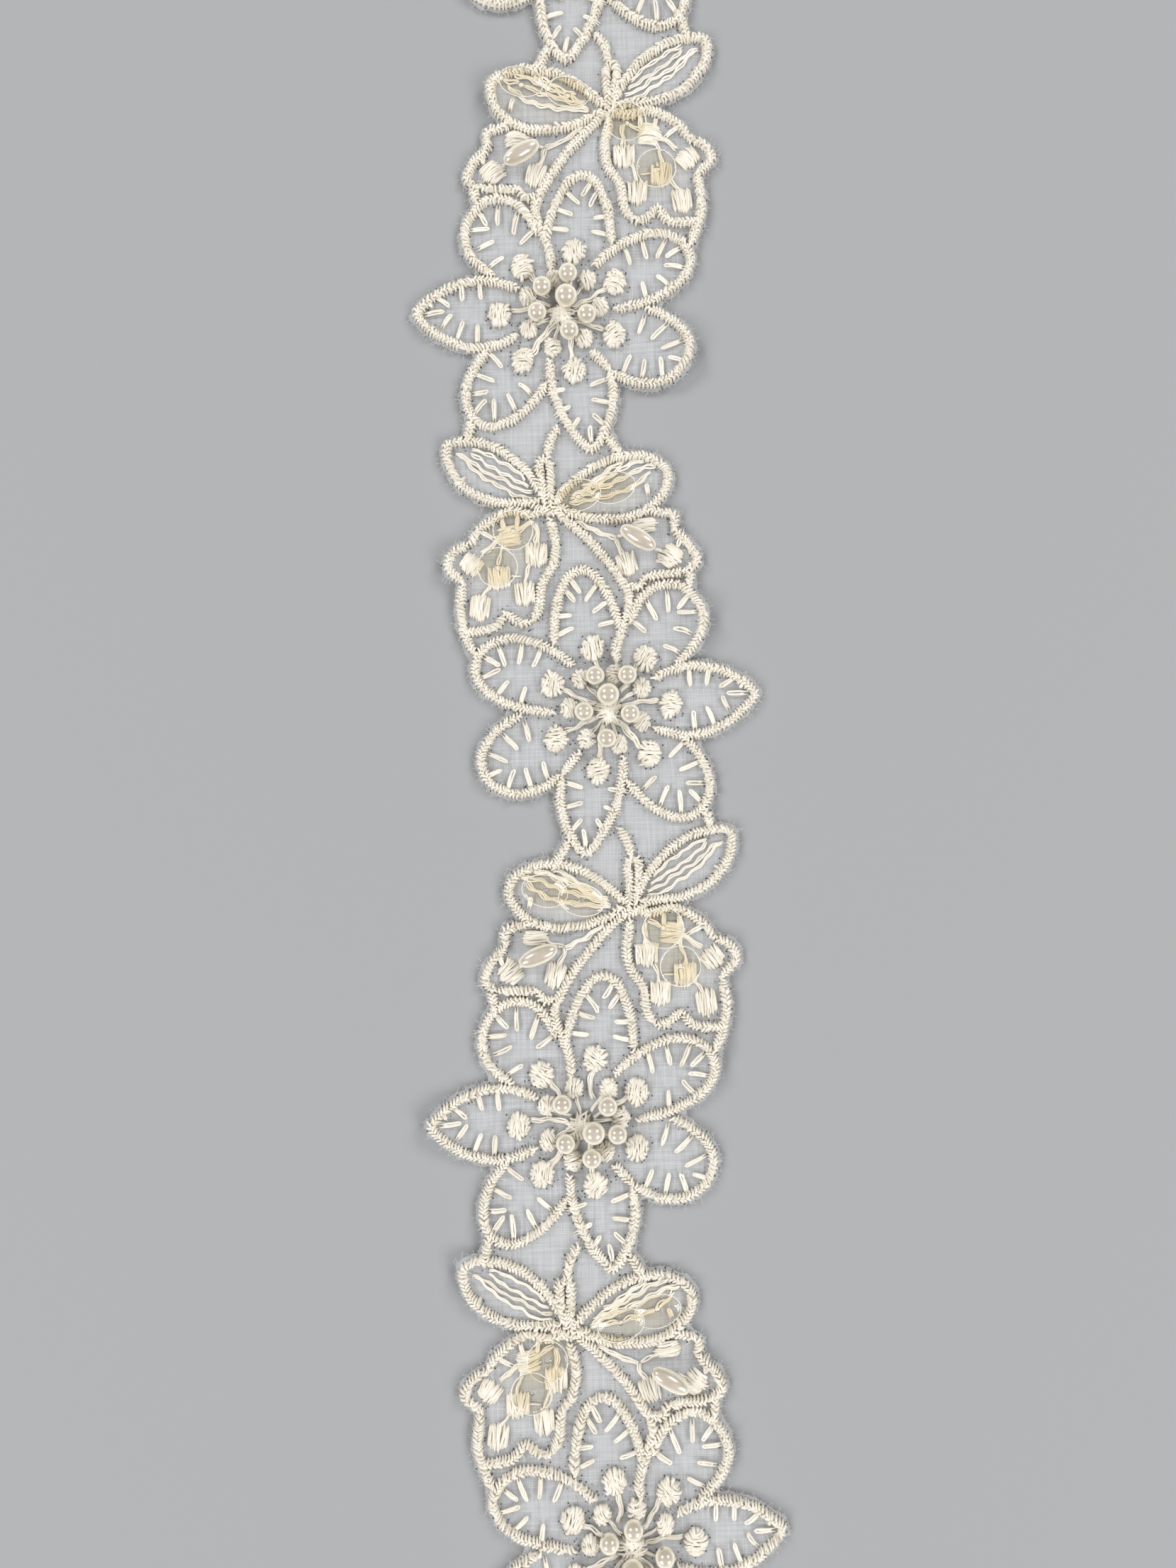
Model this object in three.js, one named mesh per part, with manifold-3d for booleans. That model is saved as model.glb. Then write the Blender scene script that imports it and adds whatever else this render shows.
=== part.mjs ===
// Beaded bridal trim: a scalloped band of sheer organza with corded flower embroidery,
// sewn-on pearls, rice pearls and clear sequins. Millimetres, +Z up, +Y along the band.
// The band lies on its flat underside at z = 0, which is the embroidery's back.

import * as THREE from 'three';
import { mergeVertices } from 'three/addons/utils/BufferGeometryUtils.js';
import Module from 'manifold-3d';

const wasm = await Module();
wasm.setup();

// Driving dimensions
const pitch = 67.7;            // from one flower's centre to the next, half of the mirrored repeat
const unitCount = 5;           // flowers in the cut length
const glide = 3.2;             // a flower's centre stands this far to the side of the band's middle
const lean = 0.035;            // the cloth is pulled this much off square
const sheet = { thick: 1.0, margin: 0.4, cell: 9 };
const cord = { foot: 1.0, sunk: 0.3, rise: 0.9, fine: 0.34 };
const cordStop = 1.15;         // a cord ends this far from the middle of one that it runs into
const dot = { outer: 1.85, inner: 1.35, shoulder: 0.62, rise: 0.7 };
const block = { rise: 0.6, shoulder: 0.8, reach: 1.8 };
const clear = 0.3;             // between two pieces
const pearl = { small: 1.5, large: 2.0, around: 10, rings: 6 };
const rice = { half: 3.5, radius: 1.35, around: 8, rings: 8 };
const sequin = { long: 3.3, wide: 3.3, thick: 0.3, sides: 16 };
const paillette = { long: 3.8, wide: 2.6, thick: 0.3, sides: 16, turn: 0.244 };

// Each flower: which way its pointed petal looks (1 left, -1 right), its pearls, its rice pearl
// with the angle it lies at, its two round sequins and the two oval ones on its left leaf.
const units = [
  { side: -1, large: [0.6, -0.4], small: [[-3.3, 4.4], [2.8, 4.5], [-4.1, -1.0], [4.8, 0.7], [1.0, -4.9]],
    rice: [-6.0, 28.0, 27], round: [[14.8, 31.2], [17.2, 24.6]], oval: [[-4.2, 38.1], [1.8, 36.6]] },
  { side: 1, large: [1.0, 2.2], small: [[-3.0, 4.2], [1.4, 6.1], [-3.9, -0.2], [4.4, -0.9], [1.4, -3.6]],
    rice: [-5.9, 27.2, 29], round: [[12.0, 31.8], [16.8, 23.6]], oval: [[-5.6, 38.9], [2.2, 37.2]] },
  { side: -1, large: [0.15, 2.55], small: [[-3.1, 5.6], [2.2, 5.8], [-3.4, -0.8], [4.2, 0.0], [0.6, -4.65]],
    rice: [-5.5, 28.3, 33], round: [[15.2, 30.9], [17.9, 24.8]], oval: [[-1.6, 37.2], [4.2, 36.0]] },
  { side: 1, large: [2.0, -0.85], small: [[-3.0, 4.0], [4.4, 3.2], [5.85, -1.3], [-2.6, -2.4], [1.6, -4.9]],
    rice: [-6.3, 28.2, 22], round: [[14.3, 31.4], [16.9, 25.0]], oval: [[-5.0, 38.6], [1.0, 36.8]] },
  { side: -1, large: [0.0, -2.3], small: [[-0.3, 4.1], [3.6, 2.0], [-5.2, -0.3], [4.3, -3.4], [-3.6, -4.6]],
    rice: [-6.9, 27.0, 31], round: [[12.8, 31.0], [15.4, 26.4]], oval: [[-5.2, 37.6], [0.8, 36.2]] },
].map((row, i) => ({ ...row, centreY: ((unitCount - 1) / 2 - i) * pitch }));

// The chart of one flower with its bell, tulip and leaves: u to the right and v up the band from
// the flower's centre. A petal or leaf runs from its first root round its tip to its second root;
// swell is how far each side bulges, and point runs from 1, sharp, to 2, round.
const petals = {
  west: { roots: [[-7.6, 5.0], [-7.6, -3.2]], tip: [-24.4, 1.6], swell: [7.6, 8.6], point: 1.3 },
  southWest: { roots: [[-12.5, -5.4], [-2.7, -11.8]], tip: [-14.0, -17.8], swell: [4.8, 3.0], point: 2 },
  south: { roots: [[-2.1, -8.3], [8.1, -10.6]], tip: [4.5, -23.5], swell: [3.6, 3.6], point: 1.3 },
  southEast: { roots: [[15.0, 0.1], [8.6, -10.3]], tip: [20.9, -9.4], swell: [3.4, 5.4], point: 2 },
  northEast: { roots: [[6.0, 8.2], [9.4, 0.4]], tip: [21.9, 9.8], swell: [8.0, 6.2], point: 2 },
  north: { roots: [[-2.3, 13.6], [8.9, 12.0]], tip: [4.4, 24.0], swell: [1.2, 1.6], point: 2 },
  northWest: { roots: [[-11.6, 7.6], [-3.9, 14.8]], tip: [-13.2, 19.7], swell: [7.0, 5.0], point: 2 },
  leftLeaf: { roots: [[8.0, 36.0], [6.4, 34.0]], tip: [-10.9, 39.7], swell: [11.5, 12.0], point: 1.7 },
  rightLeaf: { roots: [[10.2, 37.2], [10.8, 36.1]], tip: [26.0, 46.3], swell: [8.6, 11.6], point: 1.55 },
};

// Cords that are no petal's edge, each through a few places of the chart
const cords = {
  stem: [[8.4, 34.6], [1.8, 28.0], [-3.0, 21.2], [-3.8, 17.6], [-1.6, 11.0], [-1.5, 8.0]],
  southEastFoot: [[5.4, -6.9], [8.3, -10.2]],
  tulipLeft: [[9.0, 32.6], [8.2, 28.6], [8.8, 25.0], [10.7, 21.9], [11.2, 18.2], [12.4, 15.9]],
  tulipHemLeft: [[12.0, 16.0], [14.3, 15.6], [16.9, 17.6]],
  tulipHemRight: [[16.9, 17.6], [19.0, 15.1], [23.8, 14.6]],
  tulipTop: [[9.7, 34.6], [12.4, 33.9], [16.2, 34.6], [20.6, 32.0], [22.6, 29.4]],
  tulipLobe: [[22.6, 29.4], [25.3, 27.8], [26.2, 25.4], [23.8, 22.9]],
  tulipRight: [[23.8, 22.9], [24.4, 18.6], [23.8, 14.6], [22.1, 10.6]],
  bellTop: [[-6.8, 33.6], [-9.2, 33.1], [-11.7, 32.2], [-11.6, 29.9]],
  bellLeft: [[-11.6, 29.9], [-14.4, 26.8], [-15.3, 24.3], [-13.4, 22.8]],
  bellHem: [[-13.4, 22.8], [-10.6, 22.4], [-6.6, 22.2]],
  bellLobe: [[-6.6, 22.2], [-5.4, 20.5], [-3.2, 21.2]],
  petalTie: [[-14.2, 22.6], [-13.9, 20.0]],
};

// Ties to the flower below, left out under the last flower
const ties = {
  stubTie: [[-1.2, -19.6], [-2.3, -21.4], [-2.9, -24.2]],
  rightLeafTie: [[-15.6, -17.4], [-16.4, -21.0]],
  leftLeafTie: [[7.0, -20.8], [8.3, -22.8], [9.8, -25.4]],
};

// The stamens' dots, one in each petal's throat and one between each two
const outerDots = [[-10.3, 0.5], [-6.3, 8.6], [2.5, 10.7], [9.3, 5.0], [9.0, -4.1], [2.1, -9.8],
  [-6.6, -7.5]];
const innerDots = [[-5.5, 3.5], [-1.0, 6.2], [4.6, 5.7], [6.6, 0.9], [3.9, -4.4], [-1.5, -5.6],
  [-5.4, -2.1]];

// Satin blocks: middle, size across and along the stitches, and the stitches' turn in degrees
const blocks = [
  { at: [11.5, 27.2], size: [3.3, 3.9], turn: 0 },
  { at: [13.6, 20.7], size: [3.0, 4.0], turn: -4 },
  { at: [17.8, 23.6], size: [3.4, 4.0], turn: 0 },
  { at: [21.1, 18.8], size: [3.0, 4.1], turn: 8 },
  { at: [22.3, 26.0], size: [3.2, 3.2], turn: 35 },
  { at: [15.9, 30.4], size: [3.2, 3.8], turn: 80 },
  { at: [-6.8, 30.9], size: [2.2, 4.0], turn: 85 },
  { at: [-10.9, 25.5], size: [3.4, 3.4], turn: -50 },
  { at: [-3.6, 24.7], size: [3.0, 4.0], turn: -14 },
  { at: [9.7, 40.4], size: [3.5, 7.4], turn: 0 },
];

// Organza inside the outer cords, and how it is cut off square at each end of the length
const ground = [[9.5, 35.2], [-6.0, 33.5], [-13.9, 22.6], [-14.1, 20.2], [-12.2, 7.6], [-12.4, -4.9],
  [-15.6, -17.2], [-2.0, -12.0], [4.5, -23.0], [9.2, -11.4], [15.2, 0.2], [22.3, 11.5], [23.8, 15.0],
  [23.9, 22.8], [18.4, 34.6]];
const neck = [[-15.6, -17.0], [-16.4, -20.6], [-3.3, -32.5], [9.9, -25.2], [7.6, -20.5], [-3.0, -11.8]];
const topEnd = [[9.5, 35.0], [24.6, 47.2], [-5.0, 43.2]];
const bottomEnd = [[-2.0, -12.0], [-13.6, -18.9], [4.4, -24.6]];

// Places where an edge has curled up off the table: how high, and how far in it still shows
const lifts = [
  { unit: 0, at: [-24.4, 1.6], rise: 1.2, reach: 13 },
  { unit: 0, at: [26.0, 46.3], rise: 1.4, reach: 13 },
  { unit: 1, at: [22.5, -9.0], rise: 2.0, reach: 14 },
  { unit: 1, at: [-11.5, 40.5], rise: 1.5, reach: 11 },
  { unit: 2, at: [-16.5, 14.5], rise: 1.8, reach: 12 },
  { unit: 2, at: [26.5, 26.0], rise: 1.3, reach: 12 },
  { unit: 3, at: [-24.6, 1.0], rise: 1.6, reach: 13 },
  { unit: 3, at: [22.5, 9.0], rise: 1.0, reach: 12 },
  { unit: 4, at: [26.0, 46.3], rise: 1.3, reach: 12 },
  { unit: 4, at: [-16.0, -16.0], rise: 1.4, reach: 11 },
];

const place = (unit, [u, v]) => {
  const x = unit.side * (u - glide);
  return new THREE.Vector2(x, unit.centreY + v + lean * x);
};

const curls = lifts.map((row) => ({ ...row, spot: place(units[row.unit], row.at) }));

// Height of the underside over the table, 0 wherever no curl reaches
function lift(x, y) {
  let height = 0;
  for (const { spot, rise, reach } of curls) {
    const far = Math.hypot(x - spot.x, y - spot.y) / reach;
    if (far < 1) height += rise * (1 - far) ** 2;
  }
  return height;
}

// A petal's edge: along its axis it runs as 1 - |c|^point and across it as c, with c from 1 to -1
function petalEdge({ roots: [a, b], tip, swell, point }) {
  const [first, second, end] = [a, b, tip].map((p) => new THREE.Vector2(...p));
  const middle = first.clone().add(second).multiplyScalar(0.5);
  const axis = end.clone().sub(middle);
  const half = first.clone().sub(middle);
  const side = new THREE.Vector2(-axis.y, axis.x).normalize();
  if (side.dot(half) < 0) side.negate();
  const steps = 48;
  return Array.from({ length: steps + 1 }, (_, i) => {
    const c = Math.cos((Math.PI * i) / steps);
    const bulge = (c > 0 ? swell[0] : swell[1]) * c * (1 - c * c);
    const at = middle.clone().addScaledVector(axis, 1 - Math.abs(c) ** point);
    return at.addScaledVector(half, c).addScaledVector(side, bulge).toArray();
  });
}

const cordRoute = (points) => {
  const curve = new THREE.SplineCurve(points.map((p) => new THREE.Vector2(...p)));
  return curve.getPoints(8 * (points.length - 1)).map((p) => p.toArray());
};

// Keeps only the points that a smooth line needs, within cord.fine
function thin(points) {
  if (points.length < 3) return points;
  const [a, b] = [points[0], points[points.length - 1]];
  const along = b.clone().sub(a).normalize();
  const off = points.map((p) => Math.abs(along.cross(p.clone().sub(a))));
  const worst = off.indexOf(Math.max(...off));
  if (off[worst] < cord.fine) return [a, b];
  return [...thin(points.slice(0, worst + 1)).slice(0, -1), ...thin(points.slice(worst))];
}

// At each point of a line, the way across it, longer at a bend so that the sides stay parallel
function across(points, closed) {
  const n = points.length;
  const normal = (i) => {
    const d = points[(i + 1) % n].clone().sub(points[i]).normalize();
    return new THREE.Vector2(-d.y, d.x);
  };
  return points.map((_, i) => {
    const before = closed || i > 0 ? normal((i + n - 1) % n) : normal(i);
    const after = closed || i < n - 1 ? normal(i) : before;
    const mean = before.clone().add(after).normalize();
    return mean.multiplyScalar(1 / Math.max(mean.dot(after), 0.6));
  });
}

function solid(geometry) {
  const bare = geometry.index ? geometry.clone() : geometry;
  bare.deleteAttribute('normal');
  bare.deleteAttribute('uv');
  const welded = mergeVertices(bare, 1e-4);
  return new wasm.Manifold(new wasm.Mesh({
    numProp: 3,
    vertProperties: new Float32Array(welded.attributes.position.array),
    triVerts: new Uint32Array(welded.index.array),
  }));
}

// An upright piece of cloth with the given outline, taller than the band
function outlineSolid(points, grow) {
  let line = points;
  if (THREE.ShapeUtils.isClockWise(line)) line = [...line].reverse();
  const ways = across(line, true);
  const grown = line.map((p, i) => p.clone().addScaledVector(ways[i], -grow));
  const geometry = new THREE.ExtrudeGeometry(new THREE.Shape(grown), { depth: 20, bevelEnabled: false });
  return solid(geometry.translate(0, 0, -10));
}

// A cord: a low ridge that follows its line, sunk into the sheet and lifted with it
function ridgeSolid(points) {
  const top = sheet.thick;
  const section = [[-cord.foot, -cord.sunk], [cord.foot, -cord.sunk], [0, cord.rise]];
  const ways = across(points, false);
  const corners = section.length;
  const positions = points.flatMap((p, i) => section.flatMap(([off, up]) => {
    const spot = p.clone().addScaledVector(ways[i], off);
    return [spot.x, spot.y, top + lift(p.x, p.y) + up];
  }));
  const index = [];
  for (let i = 0; i + 1 < points.length; i += 1) {
    for (let k = 0; k < corners; k += 1) {
      const [a, b] = [i * corners + k, i * corners + ((k + 1) % corners)];
      index.push(a, b, b + corners, a, b + corners, a + corners);
    }
  }
  const last = (points.length - 1) * corners;
  index.push(0, 2, 1, last, last + 1, last + 2);
  const geometry = new THREE.BufferGeometry();
  geometry.setAttribute('position', new THREE.Float32BufferAttribute(positions, 3));
  geometry.setIndex(index);
  return solid(geometry);
}

// A low mound with slanting sides: a stamen dot, or a satin block with 4 sides
function moundSolid(spot, { radius, sides, rise, shoulder, stretch = [1, 1], turn = 0 }) {
  const deep = cord.sunk;
  const geometry = new THREE.CylinderGeometry(radius * shoulder, radius, rise + deep, sides);
  geometry.rotateX(Math.PI / 2).rotateZ(Math.PI / sides).scale(stretch[0], stretch[1], 1).rotateZ(turn);
  geometry.translate(spot.x, spot.y, sheet.thick + lift(spot.x, spot.y) + (rise - deep) / 2);
  return solid(geometry);
}

const join = (solids) => {
  let layer = solids;
  while (layer.length > 1) {
    const next = [];
    for (let i = 0; i + 1 < layer.length; i += 2) next.push(layer[i].add(layer[i + 1]));
    if (layer.length % 2) next.push(layer[layer.length - 1]);
    layer = next;
  }
  return layer[0];
};

// The cloth's outline: every petal, leaf and lobe grown by the cord's foot and a little organza,
// the narrow ties, and the organza between them
function outlines() {
  const grow = cord.foot + sheet.margin;
  return units.flatMap((unit, i) => {
    const laid = (line) => thin(line.map((p) => place(unit, p)));
    const tulip = [...cords.tulipTop, ...cords.tulipLobe.slice(1), ...cords.tulipRight.slice(1)];
    const bell = [...cords.bellTop, ...cords.bellLeft.slice(1), ...cords.bellHem.slice(1)];
    const rims = [...Object.values(petals).map(petalEdge), cordRoute(tulip), cordRoute(bell)];
    const atEnd = i + 1 === unitCount;
    const inner = [ground, atEnd ? bottomEnd : neck, ...(i === 0 ? [topEnd] : [])];
    const bridges = [cords.petalTie, ...(atEnd ? [] : [ties.rightLeafTie, ties.leftLeafTie])];
    const narrow = bridges.map((points) => {
      const line = laid(cordRoute(points));
      const ways = across(line, false);
      const edge = (off) => line.map((p, k) => p.clone().addScaledVector(ways[k], off));
      return [...edge(grow), ...edge(-grow).reverse()];
    });
    return [
      ...rims.map((line) => outlineSolid(laid(line), grow)),
      ...inner.map((points) => outlineSolid(points.map((p) => place(unit, p)), 0)),
      ...narrow.map((line) => outlineSolid(line, 0)),
    ];
  });
}

// Every cord in its place; one that meets another stops at that one's foot
const cordLines = [];

function layCord(unit, line) {
  const placed = line.map((p) => place(unit, p));
  const free = (p) => !cordLines.some((other) => other.some((q) => p.distanceTo(q) < cordStop));
  cordLines.push(placed.slice(placed.findIndex(free), placed.findLastIndex(free) + 1));
}

for (const unit of units) {
  Object.values(petals).forEach((petal) => layCord(unit, petalEdge(petal)));
  Object.values(cords).forEach((points) => layCord(unit, cordRoute(points)));
}
for (const unit of units.slice(0, -1)) {
  Object.values(ties).forEach((points) => layCord(unit, cordRoute(points)));
}

const raisedDots = units.flatMap((unit) => [
  ...outerDots.map((at) => ({ unit, at, radius: dot.outer, sides: 6 })),
  ...innerDots.map((at) => ({ unit, at, radius: dot.inner, sides: 5 })),
]).map((row) => ({ ...row, spot: place(row.unit, row.at) }));

const blockSpots = units.flatMap((unit) => blocks.map(({ at }) => place(unit, at)));

function mounds() {
  const round = raisedDots.map(({ spot, radius, sides }) => moundSolid(spot,
    { radius, sides, rise: dot.rise, shoulder: dot.shoulder }));
  const square = units.flatMap((unit) => blocks.map(({ at, size, turn }) => moundSolid(place(unit, at), {
    radius: Math.SQRT1_2, sides: 4, rise: block.rise, shoulder: block.shoulder,
    stretch: size, turn: unit.side * THREE.MathUtils.degToRad(turn),
  })));
  return [...round, ...square];
}

function curledSheet() {
  const [wide, long] = [72, (unitCount - 1) * pitch + 90];
  const geometry = new THREE.BoxGeometry(wide, long, sheet.thick,
    Math.round(wide / sheet.cell), Math.round(long / sheet.cell), 1);
  geometry.translate(0, 12, sheet.thick / 2);
  const spots = geometry.attributes.position;
  for (let i = 0; i < spots.count; i += 1) {
    spots.setZ(i, spots.getZ(i) + lift(spots.getX(i), spots.getY(i)));
  }
  return solid(geometry);
}

function bandGeometry() {
  const cloth = curledSheet().intersect(join(outlines()));
  const stitched = join([cloth, ...cordLines.map((line) => ridgeSolid(thin(line))), ...mounds()]);
  const { vertProperties, triVerts } = stitched.getMesh();
  const geometry = new THREE.BufferGeometry();
  geometry.setAttribute('position', new THREE.Float32BufferAttribute(vertProperties, 3));
  geometry.setIndex([...triVerts]);
  geometry.computeVertexNormals();
  return geometry;
}

// Lowest height of a ball's centre that clears the sheet and every raised dot below it
function seat(spot, radius) {
  let height = sheet.thick + lift(spot.x, spot.y) + clear + radius;
  for (const mound of raisedDots) {
    const gap = Math.max(0, spot.distanceTo(mound.spot) - mound.radius);
    const keep = radius + clear;
    if (gap < keep) {
      const top = sheet.thick + lift(mound.spot.x, mound.spot.y) + dot.rise;
      height = Math.max(height, top + Math.sqrt(keep * keep - gap * gap));
    }
  }
  return height;
}

const materials = {
  cloth: new THREE.MeshStandardMaterial({ color: 0xece6da, roughness: 0.85, metalness: 0 }),
  pearl: new THREE.MeshStandardMaterial({ color: 0xe9dfca, roughness: 0.22, metalness: 0 }),
  clear: new THREE.MeshStandardMaterial({ color: 0xf2ecd8, roughness: 0.1, transparent: true, opacity: 0.4 }),
};

const trim = new THREE.Group();

function addPiece(name, geometry, material, x = 0, y = 0, z = 0) {
  const piece = new THREE.Mesh(geometry, material.clone());
  piece.name = name;
  piece.position.set(x, y, z);
  trim.add(piece);
  return piece;
}

addPiece('band', bandGeometry(), materials.cloth);

function addPearl(name, unit, at, radius) {
  const spot = place(unit, at);
  const ball = new THREE.SphereGeometry(radius, pearl.around, pearl.rings).rotateX(Math.PI / 2);
  addPiece(name, ball, materials.pearl, spot.x, spot.y, seat(spot, radius));
}

// Height of the cloth, cord or block that a flat oval piece comes to lie on
function bed(spot, [long, wide], turn) {
  const under = (p, spare) => {
    const off = p.clone().sub(spot).rotateAround(new THREE.Vector2(), -turn);
    return Math.hypot(off.x / (long + spare), off.y / (wide + spare)) < 1;
  };
  const rim = [0, 1, 2, 3, 4, 5, 6, 7].map((i) => {
    const angle = (i * Math.PI) / 4;
    const at = new THREE.Vector2(long * Math.cos(angle), wide * Math.sin(angle));
    return at.rotateAround(new THREE.Vector2(), turn).add(spot);
  });
  const rise = Math.max(
    cordLines.some((line) => line.some((p) => under(p, cord.foot))) ? cord.rise : 0,
    blockSpots.some((p) => under(p, block.reach)) ? block.rise : 0,
  );
  return sheet.thick + Math.max(...[spot, ...rim].map((p) => lift(p.x, p.y))) + rise;
}

// A pair of flat pieces, the second over the first where they meet
function addPair(names, unit, places, { long, wide, thick, sides }, turn) {
  let last = null;
  places.forEach((at, k) => {
    const spot = place(unit, at);
    const overlaps = last && spot.distanceTo(last.spot) < 2 * long;
    const low = Math.max(bed(spot, [long, wide], turn), overlaps ? last.top : 0) + clear;
    const disc = new THREE.CylinderGeometry(1, 1, thick, sides).rotateX(Math.PI / 2);
    disc.scale(long, wide, 1);
    addPiece(`${names}_${k + 1}`, disc, materials.clear, spot.x, spot.y, low + thick / 2).rotation.z = turn;
    last = { spot, top: low + thick };
  });
}

units.forEach((unit, i) => {
  const row = String(i + 1);
  addPearl(`pearl_large_${row}`, unit, unit.large, pearl.large);
  unit.small.forEach((at, k) => addPearl(`pearl_small_${row}_${k + 1}`, unit, at, pearl.small));

  const [u, v, turn] = unit.rice;
  const grain = new THREE.SphereGeometry(1, rice.around, rice.rings).rotateZ(Math.PI / 2);
  grain.scale(rice.half, rice.radius, rice.radius);
  const bed = place(unit, [u, v]);
  const top = sheet.thick + lift(bed.x, bed.y) + block.rise;
  addPiece(`rice_pearl_${row}`, grain, materials.pearl, bed.x, bed.y, top + clear + rice.radius)
    .rotation.z = unit.side * THREE.MathUtils.degToRad(turn);

  addPair(`sequin_round_${row}`, unit, unit.round, sequin, 0);
  addPair(`sequin_oval_${row}`, unit, unit.oval, paillette, -unit.side * paillette.turn);
});

export default trim;
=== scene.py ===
import math
import bpy
import numpy as np
from mathutils import Matrix, Vector


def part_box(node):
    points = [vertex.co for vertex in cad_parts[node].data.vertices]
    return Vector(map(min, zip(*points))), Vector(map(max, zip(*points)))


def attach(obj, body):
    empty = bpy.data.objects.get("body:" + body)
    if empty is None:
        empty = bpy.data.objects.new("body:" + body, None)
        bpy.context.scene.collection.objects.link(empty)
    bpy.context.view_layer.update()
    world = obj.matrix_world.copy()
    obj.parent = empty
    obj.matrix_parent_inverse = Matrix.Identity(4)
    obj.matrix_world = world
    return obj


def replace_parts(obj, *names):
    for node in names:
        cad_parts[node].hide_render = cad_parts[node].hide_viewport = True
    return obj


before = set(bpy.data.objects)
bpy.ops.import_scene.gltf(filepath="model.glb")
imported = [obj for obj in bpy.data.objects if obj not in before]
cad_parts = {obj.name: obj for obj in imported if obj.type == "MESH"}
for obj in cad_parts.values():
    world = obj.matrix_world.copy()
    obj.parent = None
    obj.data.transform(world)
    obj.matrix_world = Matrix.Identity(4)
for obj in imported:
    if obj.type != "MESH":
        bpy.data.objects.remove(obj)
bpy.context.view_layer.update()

mm = 0.001
chance = np.random.default_rng(11)

# The band lies flat, +Y along it and the embroidered face up. All sizes here are millimetres.
# Every flower is worked from one chart, u to the right and v up the band from its centre, and each
# next flower down the band is the chart mirrored from side to side.
band = {
    "pitch": 67.7,            # from one flower's centre to the next
    "sides": [-1, 1, -1, 1, -1],  # 1 where the pointed petal looks left, -1 where it looks right
    "glide": 3.2,             # a flower's centre stands this far beside the band's middle
    "lean": 0.035,            # how far the cloth is pulled off square
    "clothAt": 0.6,           # height of the organza over the table
    "ripple": 0.09,           # how far the organza waves between the cords
}

# A petal or leaf runs from its first root round its tip to its second root. Swell is how far each
# side bulges, and point runs from 1, sharp, to 2, round.
petals = {
    "west": {"roots": [(-7.6, 5.0), (-7.6, -3.2)], "tip": (-24.4, 1.6), "swell": (7.6, 8.6), "point": 1.3},
    "southWest": {"roots": [(-12.5, -5.4), (-2.7, -11.8)], "tip": (-14.0, -17.8),
                  "swell": (4.8, 3.0), "point": 2},
    "south": {"roots": [(-2.1, -8.3), (8.1, -10.6)], "tip": (4.5, -23.5), "swell": (3.6, 3.6), "point": 1.3},
    "southEast": {"roots": [(15.0, 0.1), (8.6, -10.3)], "tip": (20.9, -9.4), "swell": (3.4, 5.4), "point": 2},
    "northEast": {"roots": [(6.0, 8.2), (9.4, 0.4)], "tip": (21.9, 9.8), "swell": (8.0, 6.2), "point": 2},
    "north": {"roots": [(-2.3, 13.6), (8.9, 12.0)], "tip": (4.4, 24.0), "swell": (1.2, 1.6), "point": 2},
    "northWest": {"roots": [(-11.6, 7.6), (-3.9, 14.8)], "tip": (-13.2, 19.7),
                  "swell": (7.0, 5.0), "point": 2},
    "leftLeaf": {"roots": [(8.0, 36.0), (6.4, 34.0)], "tip": (-10.9, 39.7),
                 "swell": (11.5, 12.0), "point": 1.7},
    "rightLeaf": {"roots": [(10.2, 37.2), (10.8, 36.1)], "tip": (26.0, 46.3),
                  "swell": (8.6, 11.6), "point": 1.55},
}

# Cords that are no petal's edge, each through a few places of the chart
cords = {
    "stem": [(8.4, 34.6), (1.8, 28.0), (-3.0, 21.2), (-3.8, 17.6), (-1.6, 11.0), (-1.5, 8.0)],
    "southEastFoot": [(5.4, -6.9), (8.3, -10.2)],
    "tulipLeft": [(9.0, 32.6), (8.2, 28.6), (8.8, 25.0), (10.7, 21.9), (11.2, 18.2), (12.4, 15.9)],
    "tulipHemLeft": [(12.0, 16.0), (14.3, 15.6), (16.9, 17.6)],
    "tulipHemRight": [(16.9, 17.6), (19.0, 15.1), (23.8, 14.6)],
    "tulipTop": [(9.7, 34.6), (12.4, 33.9), (16.2, 34.6), (20.6, 32.0), (22.6, 29.4)],
    "tulipLobe": [(22.6, 29.4), (25.3, 27.8), (26.2, 25.4), (23.8, 22.9)],
    "tulipRight": [(23.8, 22.9), (24.4, 18.6), (23.8, 14.6), (22.1, 10.6)],
    "bellTop": [(-6.8, 33.6), (-9.2, 33.1), (-11.7, 32.2), (-11.6, 29.9)],
    "bellLeft": [(-11.6, 29.9), (-14.4, 26.8), (-15.3, 24.3), (-13.4, 22.8)],
    "bellHem": [(-13.4, 22.8), (-10.6, 22.4), (-6.6, 22.2)],
    "bellLobe": [(-6.6, 22.2), (-5.4, 20.5), (-3.2, 21.2)],
    "petalTie": [(-14.2, 22.6), (-13.9, 20.0)],
    "stub": [(8.8, 35.4), (9.0, 38.2), (8.8, 40.6), (8.85, 42.3), (9.7, 43.1), (10.55, 42.3), (10.6, 40.6),
             (10.2, 38.2), (9.8, 35.4)],
    "junction": [(6.6, 34.6), (8.8, 35.2), (10.6, 36.6)],
    "junctionFoot": [(7.6, 33.4), (9.5, 34.2), (11.8, 35.2)],
}

# Ties to the flower below, left out under the last flower
ties = {
    "stubTie": [(-1.2, -19.6), (-2.3, -21.4), (-2.9, -24.2)],
    "rightLeafTie": [(-15.6, -17.4), (-16.4, -21.0)],
    "leftLeafTie": [(7.0, -20.8), (8.3, -22.8), (9.8, -25.4)],
}

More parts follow.
